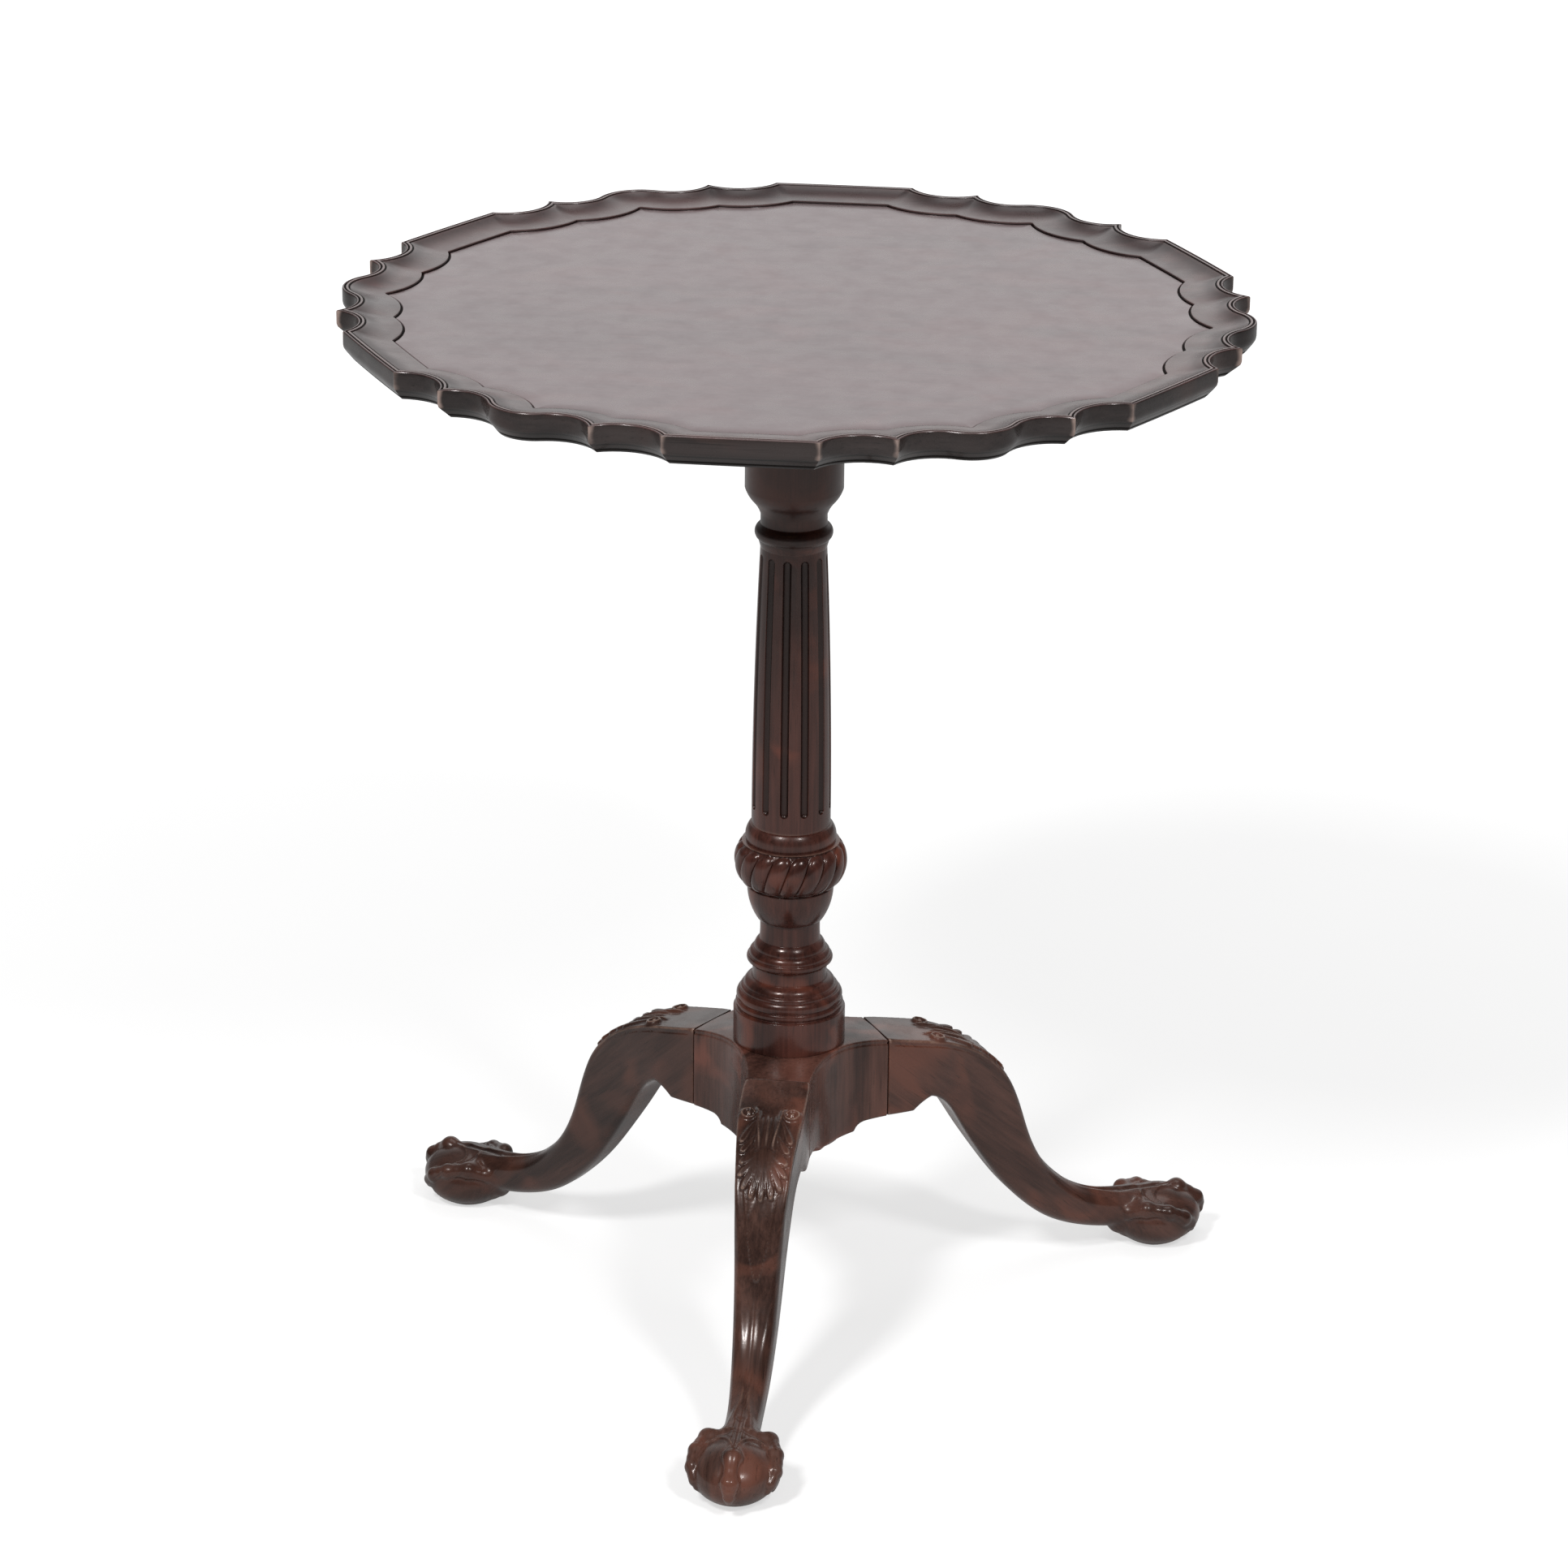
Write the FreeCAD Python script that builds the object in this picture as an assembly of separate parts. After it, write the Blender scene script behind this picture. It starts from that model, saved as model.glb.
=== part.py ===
import FreeCAD, Part
import math
import os

# Tilt-top tripod table with a scalloped tray top, a fluted pillar and three cabriole legs.
# Millimetres, +Z up. The origin is on the floor under the pillar, and the front leg points along -Y.

# Top
TABLE_HEIGHT = 711.0
TOP_THICKNESS = 19.5
RIM_REACH = 295.0            # from the axis to the round bumps of the rim
RIM_REPEATS = 6
CORNER_INSET = 0.6           # end of a long side, inside RIM_REACH
LONG_SIDE_BOW = 0.57         # how far a long side's middle stands out from its ends
CUSP_INSET = 0.9             # sharp point between two hollows
HOLLOW_DEPTH = 13.5          # deepest point of every hollow
LONG_HALF_ANGLE = 9.3        # degrees from the middle of a long side
CUSP_ANGLE = 18.5
FLANK_ANGLE = 22.7
EDGE_FACE = 10.0             # upright part of the edge
UNDERCUT = 6.5               # how far the edge runs in below that
LIP_WIDTH = 4.2
LIP_DROP = 0.8               # small step from the lip into the cove
COVE_DROP = 3.9
COVE_STEPS = 3
MOULDING_WIDTH = 28.5        # from the edge to the step down to the field
FIELD_STEP = 1.3
TIP_RADIUS = 1.0             # least radius left on a bump by the moulding inside it

# Tilting head under the top
BLOCK_WIDTH = 116.0
BLOCK_THICKNESS = 30.0
BLOCK_FRONT = 58.0           # from the axis to the face that takes the catch
PIVOT_OFFSET = 42.0          # from the axis back to the pivot pins
PIN_RADIUS = 6.0
PIN_SEAT = 32.0              # length driven into the block
TENON_RADIUS = 15.0
WEDGE_THICKNESS = 3.0
WEDGE_DEPTH = 22.0
BEARER_LENGTH = 400.0
BEARER_WIDTH = 30.0
BEARER_DEPTH = 28.0
BEARER_TIP = 9.0
BEARER_TAPER = 80.0
BEARER_SCREW_PITCH = 80.0    # spaced each way from the pivot pin
BEARER_SCREW_GRIP = 10.0     # wood left between a screw head and the top
BEARER_SCREW_BITE = 7.0      # thread in the top
BEARER_SCREW_SHANK = 2.2
BEARER_SCREW_HEAD = 4.2

# Brass catch on the underside, and its strike on the block
CASE_LENGTH = 46.0
CASE_WIDTH = 22.0
CASE_HEIGHT = 13.0
CASE_WALL = 2.5
CASE_STANDOFF = 3.0          # from the block's front face
FLANGE_WIDTH = 42.0
FLANGE_THICKNESS = 2.0
BOLT_TRAVEL = 7.0
BOLT_BODY = 22.0
BOLT_SETBACK = 1.0           # nose clear of the block when drawn back
NOSE_WIDTH = 12.0
NOSE_HEIGHT = 5.8
KNOB_RADIUS = 6.0
KNOB_HEIGHT = 9.0
KNOB_STEM = 2.4
SPRING_GAUGE = 0.6
SPRING_HEIGHT = 6.0
STRIKE_WIDTH = 36.0
STRIKE_HEIGHT = 17.0
STRIKE_THICKNESS = 2.0
SMALL_SCREW_SHANK = 1.4
SMALL_SCREW_HEAD = 2.8
SMALL_SCREW_LENGTH = 9.0

# Pillar mouldings, from the hub upward. A swell or hollow is the belly of an outline's arc.
QUIRK = 1.0                  # small step between mouldings
DRUM_RADIUS = 37.5
DRUM_HEIGHT = 23.5
BEAD_RADIUS = 34.0           # at the ends of the bead
BEAD_HEIGHT = 12.4
BEAD_SWELL = 2.6
FOOT_COVE_HEIGHT = 11.6
FOOT_COVE_HOLLOW = 1.7
RING_RADIUS = 25.6
RING_FILLET = 2.5
RING_HEIGHT = 14.8
RING_SWELL = 3.2
WAIST_RADIUS = 20.5
WAIST_HEIGHT = 20.2
WAIST_HOLLOW = 2.4
CUP_RADIUS = 28.8
CUP_HEIGHT = 22.0
CUP_SWELL = 1.6
CUP_FILLET = 2.0
KNOP_HEIGHT = 31.5
KNOP_TOP_RADIUS = 32.6
KNOP_SWELL = 6.3
GADROONS = 18
GADROON_GROOVE = 2.0         # radius of the gouge that parts two lobes
GADROON_TWIST = 20.0         # degrees from a groove's foot to its head
GADROON_MARGIN = 2.5         # knop left plain at each end of a groove
COLLAR_RADIUS = 30.0
COLLAR_STEP = 1.2
COLLAR_HEIGHT = 11.0
COLLAR_SWELL = 1.3
SHAFT_FOOT_RADIUS = 26.3
SHAFT_NECK_RADIUS = 21.9
SHAFT_SWELL = 1.1
FLUTES = 12
FLUTE_RADIUS = 3.3
FLUTE_LIFT = 0.4             # flute centre line outside the shaft's surface
FLUTE_TURN = -4.0            # degrees from the front leg to the nearest flute
FLUTE_FOOT_MARGIN = 11.0
FLUTE_NECK_MARGIN = 4.0
NECK_FLARE = 1.4
NECK_FLARE_HEIGHT = 5.5
ASTRAGAL_HEIGHT = 9.5
ASTRAGAL_SWELL = 2.4
NECKING_HEIGHT = 6.5
BELL_HEIGHT = 18.0
BELL_SWELL = 0.6
CAPITAL_RADIUS = 32.3
CAPITAL_DRUM = 73.7
SPIGOT_RADIUS = 17.0
SPIGOT_LENGTH = 48.0

# Hub and legs
LEG_ANGLES = {"front": -90.0, "right": 30.0, "left": 150.0}
HUB_TOP = 199.0
HUB_LEDGE = 2.0              # hub seen round the pillar's drum
HUB_SLOPE = 0.18             # fall of the arms per millimetre outward
HUB_UNDERSIDE = 140.0
HUB_STEP = 5.4               # upper of the two steps under the hub's middle
HUB_PAD = 3.6                # lower step
HUB_STEP_WIDTH = 6.0
HUB_STEP_HOLLOW = 1.3
JOINT_REACH = 64.0           # from the axis to the joint between hub and leg
ARM_WIDTH = 44.0
ANKLE_WIDTH = 22.5
BRACKET_LENGTH = 18.0
BRACKET_DEPTH = 8.0
BRACKET_HOLLOW = 1.5
DOWEL_RADIUS = 5.0
DOWEL_LENGTH = 36.0
DOWEL_HEIGHTS = (157.0, 178.0)

# Claw and ball feet
FOOT_REACH = 282.0
BALL_RADIUS = 28.0           # seen from above
BALL_RISE = 20.0             # half the height of the flattened ball
BALL_SINK = 2.0              # how far the ball is worn down where it stands
BALL_FLAT = 12.0             # radius of the worn flat
TALON_RADIUS = 4.8
TALON_OFFSET = 0.8           # talon centre line above the ball's surface
KNUCKLE_RADIUS = 5.8
# Start, knuckle and tip of each talon, as directions from the ball's centre: outward, sideways, up
FRONT_TALON = ((-0.75, 0, 0.66), (0.45, 0, 0.89), (0.95, 0, -0.30))
BACK_TALON = ((-0.98, 0, 0.10), (-0.97, 0, -0.25), (-0.78, 0, -0.52))
SIDE_TALON = ((-0.88, 0.25, 0.42), (0.02, 0.94, 0.34), (0.68, 0.66, -0.32))

# Clearances
REST_GAP = 0.3
FIT_GAP = 0.05
PIVOT_GAP = 0.06
SLIDE_GAP = 0.2
BEARER_GAP = 0.5

UNDERSIDE = TABLE_HEIGHT - TOP_THICKNESS
FIELD = TABLE_HEIGHT - LIP_DROP - COVE_DROP - FIELD_STEP
BLOCK_TOP = UNDERSIDE - REST_GAP
BLOCK_BOTTOM = BLOCK_TOP - BLOCK_THICKNESS
PIVOT_Z = BLOCK_TOP - BLOCK_THICKNESS / 2
BEARER_INNER = BLOCK_WIDTH / 2 + BEARER_GAP
HUB_WAIST = DRUM_RADIUS + HUB_LEDGE
JOINT_TOP = HUB_TOP - HUB_SLOPE * (JOINT_REACH - HUB_WAIST)
BALL_CENTRE = FreeCAD.Vector(FOOT_REACH, 0, BALL_RISE - BALL_SINK)

UP = FreeCAD.Vector(0, 0, 1)
ORIGIN = FreeCAD.Vector(0, 0, 0)


def at(x, y, z=0.0):
    return FreeCAD.Vector(x, y, z)


def polar(reach, degrees, z=0.0):
    angle = math.radians(degrees)
    return at(reach * math.cos(angle), reach * math.sin(angle), z)


def line(a, b):
    return Part.LineSegment(a, b).toShape()


def arc(a, middle, b):
    return Part.Arc(a, middle, b).toShape()


def block(x0, x1, y0, y1, z0, z1):
    return Part.makeBox(x1 - x0, y1 - y0, z1 - z0, at(x0, y0, z0))


def solid_between(edges, depth):
    return Part.Face(Part.Wire(edges)).extrude(depth)


def polygon_solid(points, depth):
    return Part.Face(Part.makePolygon(points + points[:1])).extrude(depth)


def bow(a, b, belly):
    """An edge from a to b in the XZ plane that swells by belly to the right of its run."""
    if abs(belly) < 1e-6:
        return line(a, b)
    run = b - a
    side = at(run.z, 0, -run.x).normalize()
    return arc(a, (a + b) * 0.5 + side * belly, b)


def entasis(a, b, belly):
    """A slow parabolic swell from a to b, for the shaft."""
    run = b - a
    side = at(run.z, 0, -run.x).normalize()
    curve = Part.BezierCurve()
    curve.setPoles([a, (a + b) * 0.5 + side * (2 * belly), b])
    return curve.toShape()


def turned(start, moves, joined=bow):
    """Solid of revolution about Z. Each move is (radius, height, belly) of the outline's next point."""
    here = at(start[0], 0, start[1])
    edges = [line(at(0, 0, start[1]), here)]
    for radius, height, belly in moves:
        there = at(radius, 0, height)
        edges.append(joined(here, there, belly))
        here = there
    edges.append(line(here, at(0, 0, here.z)))
    edges.append(line(at(0, 0, here.z), at(0, 0, start[1])))
    return Part.Face(Part.Wire(edges)).revolve(ORIGIN, UP, 360)


def screw(shank, head, length):
    """Countersunk screw with its head face at the origin, pointing along +Z."""
    sink = head - shank
    return turned((head, 0), [(shank, sink, 0), (shank, length - shank, 0), (shank * 0.2, length, 0)])


def screw_hole(shank, head, length):
    """The countersunk hole that such a screw fills."""
    sink = head - shank
    return turned((head, 0), [(shank, sink, 0), (shank, length, 0)])


def meet(centre_a, radius_a, centre_b, radius_b, near):
    """The crossing of two circles that lies nearer to a given point."""
    gap = centre_b - centre_a
    span = gap.Length
    along = (span ** 2 + radius_a ** 2 - radius_b ** 2) / (2 * span)
    height = math.sqrt(max(radius_a ** 2 - along ** 2, 0.0))
    unit = gap * (1 / span)
    foot = centre_a + unit * along
    side = at(-unit.y, unit.x) * height
    return min((foot + side, foot - side), key=lambda p: (p - near).Length)


# Rim outline: a long side, a hollow, a cusp and a second hollow that runs into a round bump.

def circle_of_bow(a, middle, b):
    circle = arc(a, middle, b).Curve
    return circle.Center, circle.Radius


def rim_circles():
    """Arcs from a long side's middle, on the X axis, to the next bump: three circles and a bump radius."""
    half_turn = 180.0 / RIM_REPEATS
    floor = RIM_REACH - HOLLOW_DEPTH
    corner = polar(RIM_REACH - CORNER_INSET, LONG_HALF_ANGLE)
    cusp = polar(RIM_REACH - CUSP_INSET, CUSP_ANGLE)
    far_corner = at(corner.x, -corner.y)
    side = circle_of_bow(far_corner, at(corner.x + LONG_SIDE_BOW, 0), corner)
    hollow = circle_of_bow(corner, polar(floor, (LONG_HALF_ANGLE + CUSP_ANGLE) / 2), cusp)
    tip = RIM_REACH - CUSP_INSET
    lean = 1 - math.cos(math.radians(FLANK_ANGLE - CUSP_ANGLE))
    flank_radius = ((tip - floor) ** 2 + 2 * floor * tip * lean) / (2 * (tip - floor) - 2 * tip * lean)
    flank_centre = polar(floor + flank_radius, FLANK_ANGLE)
    spread = 1 - math.cos(math.radians(half_turn - FLANK_ANGLE))
    reach = floor + flank_radius
    over = reach - RIM_REACH
    bump_radius = (over ** 2 + 2 * reach * RIM_REACH * spread - flank_radius ** 2) / (
        2 * flank_radius - 2 * over + 2 * reach * spread)
    return side, hollow, (flank_centre, flank_radius), bump_radius


def rim_wire(inset, z):
    """The rim's outline moved inward by inset, with every hollow and side kept concentric."""
    (side_c, side_r), (hollow_c, hollow_r), (flank_c, flank_r), bump_r = rim_circles()
    corner = meet(side_c, side_r - inset, hollow_c, hollow_r + inset, polar(RIM_REACH, LONG_HALF_ANGLE))
    cusp = meet(hollow_c, hollow_r + inset, flank_c, flank_r + inset, polar(RIM_REACH, CUSP_ANGLE))
    outward = polar(1, 180.0 / RIM_REPEATS)
    tip_r = max(bump_r - inset, TIP_RADIUS)
    along = flank_c.dot(outward)
    across = (flank_c - outward * along).Length
    tip_c = outward * (along - math.sqrt((flank_r + inset + tip_r) ** 2 - across ** 2))
    join = tip_c + (flank_c - tip_c).normalize() * tip_r
    half = [
        (at(side_c.x + side_r - inset, 0), corner, side_c, side_r - inset),
        (corner, cusp, hollow_c, hollow_r + inset),
        (cusp, join, flank_c, flank_r + inset),
        (join, tip_c + outward * tip_r, tip_c, tip_r),
    ]
    edges = []
    for a, b, centre, radius in half:
        middle = centre + ((a + b) * 0.5 - centre).normalize() * radius
        edges.append(arc(a, middle, b))
    mirrored = [e.mirror(ORIGIN, at(-outward.y, outward.x)) for e in reversed(edges)]
    wires = []
    for k in range(RIM_REPEATS):
        for edge in edges + mirrored:
            copy = edge.copy()
            copy.rotate(ORIGIN, UP, 360.0 / RIM_REPEATS * k + 180.0 / RIM_REPEATS)
            wires.append(copy)
    wire = Part.Wire(Part.__sortEdges__(wires))
    wire.translate(at(0, 0, z))
    return wire


def rim_slab(lower_inset, lower_z, upper_inset, upper_z):
    """Solid between two insets of the outline."""
    return Part.makeLoft([rim_wire(lower_inset, lower_z), rim_wire(upper_inset, upper_z)], True, True)


def cove_spot(share):
    """Inset and height on the cove, a quarter ellipse that falls steeply inside the lip and then levels out."""
    inset = LIP_WIDTH + (MOULDING_WIDTH - LIP_WIDTH) * (1 - math.cos(share * math.pi / 2))
    drop = COVE_DROP * math.sin(share * math.pi / 2)
    return inset, TABLE_HEIGHT - LIP_DROP - drop


def table_top():
    edge_foot = TABLE_HEIGHT - EDGE_FACE
    slab = Part.Face(rim_wire(0, edge_foot)).extrude(at(0, 0, EDGE_FACE))
    under = rim_slab(UNDERCUT, UNDERSIDE, 0, edge_foot)
    spots = [(LIP_WIDTH, TABLE_HEIGHT)]
    spots += [cove_spot(k / COVE_STEPS) for k in range(COVE_STEPS + 1)]
    spots.append((MOULDING_WIDTH, FIELD))
    steps = [lower + upper for upper, lower in zip(spots, spots[1:])]
    dish = None
    for step in steps:
        layer = rim_slab(*step)
        dish = layer if dish is None else dish.fuse(layer)
    top = slab.fuse(under).removeSplitter().cut(dish.removeSplitter())
    for hole in bearer_screw_places():
        top = top.cut(drill(hole, BEARER_SCREW_SHANK, UNDERSIDE, UNDERSIDE + BEARER_SCREW_BITE))
    for x, y in catch_screw_places():
        top = top.cut(drill((x, y), SMALL_SCREW_SHANK, UNDERSIDE, UNDERSIDE + SMALL_SCREW_LENGTH))
    return top


# Tilting head

def drill(place, radius, z0, z1):
    return Part.makeCylinder(radius, z1 - z0, at(place[0], place[1], z0))


def bearer_screw_places(sides=(-1, 1)):
    x = BEARER_INNER + BEARER_WIDTH / 2
    pitches = (-2.5, -1.5, -0.5, 0.5, 1.5)
    return [(s * x, PIVOT_OFFSET + BEARER_SCREW_PITCH * k) for s in sides for k in pitches]


def bearer(side):
    half = BEARER_LENGTH / 2
    foot = UNDERSIDE - BEARER_DEPTH
    tip = UNDERSIDE - BEARER_TIP
    x = BEARER_INNER if side > 0 else -BEARER_INNER - BEARER_WIDTH
    points = [
        at(x, -half, UNDERSIDE), at(x, -half, tip), at(x, -half + BEARER_TAPER, foot),
        at(x, half - BEARER_TAPER, foot), at(x, half, tip), at(x, half, UNDERSIDE),
    ]
    body = polygon_solid(points, at(BEARER_WIDTH, 0, 0))
    bore = Part.makeCylinder(PIN_RADIUS + PIVOT_GAP, BEARER_WIDTH, at(x, PIVOT_OFFSET, PIVOT_Z), at(1, 0, 0))
    body = body.cut(bore)
    seat = UNDERSIDE - BEARER_SCREW_GRIP
    for place in bearer_screw_places((side,)):
        hole = screw_hole(BEARER_SCREW_SHANK, BEARER_SCREW_HEAD, BEARER_SCREW_GRIP)
        hole.translate(at(place[0], place[1], seat))
        body = body.cut(hole).cut(drill(place, BEARER_SCREW_HEAD, foot - 1, seat))
    return body


def bearer_screws():
    solids = []
    for x, y in bearer_screw_places():
        one = screw(BEARER_SCREW_SHANK, BEARER_SCREW_HEAD, BEARER_SCREW_GRIP + BEARER_SCREW_BITE)
        one.translate(at(x, y, UNDERSIDE - BEARER_SCREW_GRIP))
        solids.append(one)
    return Part.makeCompound(solids)


def pivot_block():
    """Block on the pillar. Its back is rounded above the pins, and flat below them to stop the top upright."""
    half = BLOCK_WIDTH / 2
    radius = BLOCK_THICKNESS / 2
    back = PIVOT_OFFSET + radius
    shoulder = PIVOT_Z + radius * math.sqrt(0.5)
    corners = [
        at(-half, back, PIVOT_Z), at(-half, back, BLOCK_BOTTOM), at(-half, -BLOCK_FRONT, BLOCK_BOTTOM),
        at(-half, -BLOCK_FRONT, BLOCK_TOP), at(-half, PIVOT_OFFSET, BLOCK_TOP),
    ]
    edges = [line(a, b) for a, b in zip(corners, corners[1:])]
    edges.append(arc(corners[-1], at(-half, PIVOT_OFFSET + radius * math.sqrt(0.5), shoulder), corners[0]))
    body = solid_between(edges, at(BLOCK_WIDTH, 0, 0))
    body = body.cut(drill((0, 0), TENON_RADIUS + FIT_GAP, BLOCK_BOTTOM, BLOCK_TOP))
    for side in (-1, 1):
        start = at(side * half, PIVOT_OFFSET, PIVOT_Z)
        body = body.cut(Part.makeCylinder(PIN_RADIUS, PIN_SEAT, start, at(-side, 0, 0)))
    body = body.cut(strike_blank())
    body = body.cut(strike_window(-BLOCK_FRONT, BOLT_TRAVEL + STRIKE_THICKNESS))
    for x, z in strike_screw_places():
        hole = Part.makeCylinder(SMALL_SCREW_SHANK, SMALL_SCREW_LENGTH, at(x, -BLOCK_FRONT, z), at(0, 1, 0))
        body = body.cut(hole)
    return body


def pivot_pins():
    pins = []
    for side in (-1, 1):
        start = at(side * (BLOCK_WIDTH / 2 - PIN_SEAT), PIVOT_OFFSET, PIVOT_Z)
        length = PIN_SEAT + BEARER_GAP + BEARER_WIDTH
        pins.append(Part.makeCylinder(PIN_RADIUS, length, start, at(side, 0, 0)))
    return Part.makeCompound(pins)


def wedge_solid():
    """Tapered wedge driven down into the pillar's tenon, across the grain of the block."""
    half = WEDGE_THICKNESS / 2
    foot = BLOCK_TOP - WEDGE_DEPTH
    x = -TENON_RADIUS
    points = [at(x, -half, BLOCK_TOP), at(x, half, BLOCK_TOP), at(x, 0, foot)]
    blade = polygon_solid(points, at(2 * TENON_RADIUS, 0, 0))
    return blade.common(drill((0, 0), TENON_RADIUS, foot, BLOCK_TOP))


# Brass catch

CASE_FRONT = -BLOCK_FRONT - CASE_STANDOFF
CASE_BACK = CASE_FRONT - CASE_LENGTH
CASE_FOOT = UNDERSIDE - CASE_HEIGHT
BOLT_FOOT = CASE_FOOT + CASE_WALL + SLIDE_GAP
BOLT_HALF = CASE_WIDTH / 2 - CASE_WALL - SLIDE_GAP
BOLT_TIP = -BLOCK_FRONT - BOLT_SETBACK
BOLT_SHOULDER = CASE_FRONT - CASE_WALL - BOLT_TRAVEL - REST_GAP
BOLT_TAIL = BOLT_SHOULDER - BOLT_BODY
KNOB_Y = BOLT_SHOULDER - BOLT_BODY / 2


def catch_screw_places():
    x = (CASE_WIDTH + FLANGE_WIDTH) / 4
    inset = FLANGE_THICKNESS + SMALL_SCREW_HEAD
    return [(s * x, y) for s in (-1, 1) for y in (CASE_FRONT - inset, CASE_BACK + inset)]


def catch_case():
    half = CASE_WIDTH / 2
    wing = FLANGE_WIDTH / 2
    body = block(-half, half, CASE_BACK, CASE_FRONT, CASE_FOOT, UNDERSIDE)
    flange = block(-wing, wing, CASE_BACK, CASE_FRONT, UNDERSIDE - FLANGE_THICKNESS, UNDERSIDE)
    body = body.fuse(flange).removeSplitter()
    inner = half - CASE_WALL
    body = body.cut(block(-inner, inner, CASE_BACK + CASE_WALL, CASE_FRONT - CASE_WALL,
                          CASE_FOOT + CASE_WALL, UNDERSIDE))
    window = NOSE_WIDTH / 2 + SLIDE_GAP
    body = body.cut(block(-window, window, CASE_FRONT - CASE_WALL, CASE_FRONT,
                          CASE_FOOT + CASE_WALL, BOLT_FOOT + NOSE_HEIGHT + SLIDE_GAP))
    slot = KNOB_STEM + SLIDE_GAP
    run = [drill((0, KNOB_Y + k), slot, CASE_FOOT, CASE_FOOT + CASE_WALL) for k in (0, BOLT_TRAVEL)]
    lane = block(-slot, slot, KNOB_Y, KNOB_Y + BOLT_TRAVEL, CASE_FOOT, CASE_FOOT + CASE_WALL)
    body = body.cut(run[0].fuse(run[1]).fuse(lane).removeSplitter())
    for x, y in catch_screw_places():
        hole = screw_hole(SMALL_SCREW_SHANK, SMALL_SCREW_HEAD, FLANGE_THICKNESS)
        hole.translate(at(x, y, UNDERSIDE - FLANGE_THICKNESS))
        body = body.cut(hole)
    return body


def catch_screws():
    solids = []
    for x, y in catch_screw_places():
        one = screw(SMALL_SCREW_SHANK, SMALL_SCREW_HEAD, SMALL_SCREW_LENGTH)
        one.translate(at(x, y, UNDERSIDE - FLANGE_THICKNESS))
        solids.append(one)
    return Part.makeCompound(solids)


def catch_bolt():
    """Bolt drawn back by its knob, with a nose bevelled below to ride over the strike as the top comes down."""
    top = UNDERSIDE - SLIDE_GAP - FLANGE_THICKNESS / 2
    body = block(-BOLT_HALF, BOLT_HALF, BOLT_TAIL, BOLT_SHOULDER, BOLT_FOOT, top)
    half = NOSE_WIDTH / 2
    bevel = NOSE_HEIGHT / 2
    points = [
        at(-half, BOLT_SHOULDER, BOLT_FOOT), at(-half, BOLT_TIP - bevel, BOLT_FOOT),
        at(-half, BOLT_TIP, BOLT_FOOT + bevel), at(-half, BOLT_TIP, BOLT_FOOT + NOSE_HEIGHT),
        at(-half, BOLT_SHOULDER, BOLT_FOOT + NOSE_HEIGHT),
    ]
    bolt = body.fuse(polygon_solid(points, at(NOSE_WIDTH, 0, 0))).removeSplitter()
    return bolt.cut(drill((0, KNOB_Y), KNOB_STEM, BOLT_FOOT, BOLT_FOOT + NOSE_HEIGHT))


def catch_knob():
    """Turned thumb knob on a stem that runs in the case's slot."""
    neck = CASE_FOOT - REST_GAP
    foot = neck - KNOB_HEIGHT
    knob = turned((KNOB_RADIUS * 0.5, foot), [
        (KNOB_RADIUS, foot + KNOB_HEIGHT * 0.35, KNOB_RADIUS * 0.15),
        (KNOB_RADIUS * 0.55, foot + KNOB_HEIGHT * 0.7, KNOB_RADIUS * 0.15),
        (KNOB_RADIUS * 0.8, neck, -KNOB_RADIUS * 0.1),
        (KNOB_STEM, neck, 0),
        (KNOB_STEM, BOLT_FOOT + NOSE_HEIGHT, 0),
    ])
    knob.translate(at(0, KNOB_Y))
    return knob


def catch_spring():
    """Hairpin leaf spring between the bolt's tail and the back of the case."""
    back = CASE_BACK + CASE_WALL + SPRING_GAUGE / 2
    front = BOLT_TAIL - SPRING_GAUGE / 2
    radius = (front - back) / 2
    free_end = SPRING_GAUGE - BOLT_HALF
    bend_start = BOLT_HALF - SPRING_GAUGE - radius
    z = BOLT_FOOT + SLIDE_GAP

    def leaf(offset):
        bend = radius + offset
        middle = (front + back) / 2
        back_leaf = [at(free_end, middle - bend, z), at(bend_start, middle - bend, z)]
        front_leaf = [at(bend_start, middle + bend, z), at(free_end, middle + bend, z)]
        return back_leaf + [at(bend_start + bend, middle, z)] + front_leaf

    outer = leaf(SPRING_GAUGE / 2)
    inner = leaf(-SPRING_GAUGE / 2)
    edges = [
        line(outer[0], outer[1]), arc(*outer[1:4]), line(outer[3], outer[4]), line(outer[4], inner[4]),
        line(inner[4], inner[3]), arc(*inner[3:0:-1]), line(inner[1], inner[0]), line(inner[0], outer[0]),
    ]
    return solid_between(edges, at(0, 0, SPRING_HEIGHT))


def strike_blank():
    half = STRIKE_WIDTH / 2
    face = -BLOCK_FRONT
    return block(-half, half, face, face + STRIKE_THICKNESS, BLOCK_TOP - STRIKE_HEIGHT, BLOCK_TOP)


def strike_window(y, depth):
    half = NOSE_WIDTH / 2 + 2 * SLIDE_GAP
    foot = BOLT_FOOT - 2 * SLIDE_GAP
    return block(-half, half, y, y + depth, foot, BOLT_FOOT + NOSE_HEIGHT + 2 * SLIDE_GAP)


def strike_screw_places():
    x = (STRIKE_WIDTH + NOSE_WIDTH) / 4
    return [(s * x, BLOCK_TOP - STRIKE_HEIGHT / 2) for s in (-1, 1)]


def strike_plate():
    plate = strike_blank().cut(strike_window(-BLOCK_FRONT, STRIKE_THICKNESS))
    for x, z in strike_screw_places():
        plate = plate.cut(lay_along_y(screw_hole(SMALL_SCREW_SHANK, SMALL_SCREW_HEAD, STRIKE_THICKNESS), x, z))
    return plate


def lay_along_y(shape, x, z):
    """Turns a piece that points up so that it points into the block's front face."""
    shape.rotate(ORIGIN, at(1, 0, 0), -90)
    shape.translate(at(x, -BLOCK_FRONT, z))
    return shape


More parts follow.
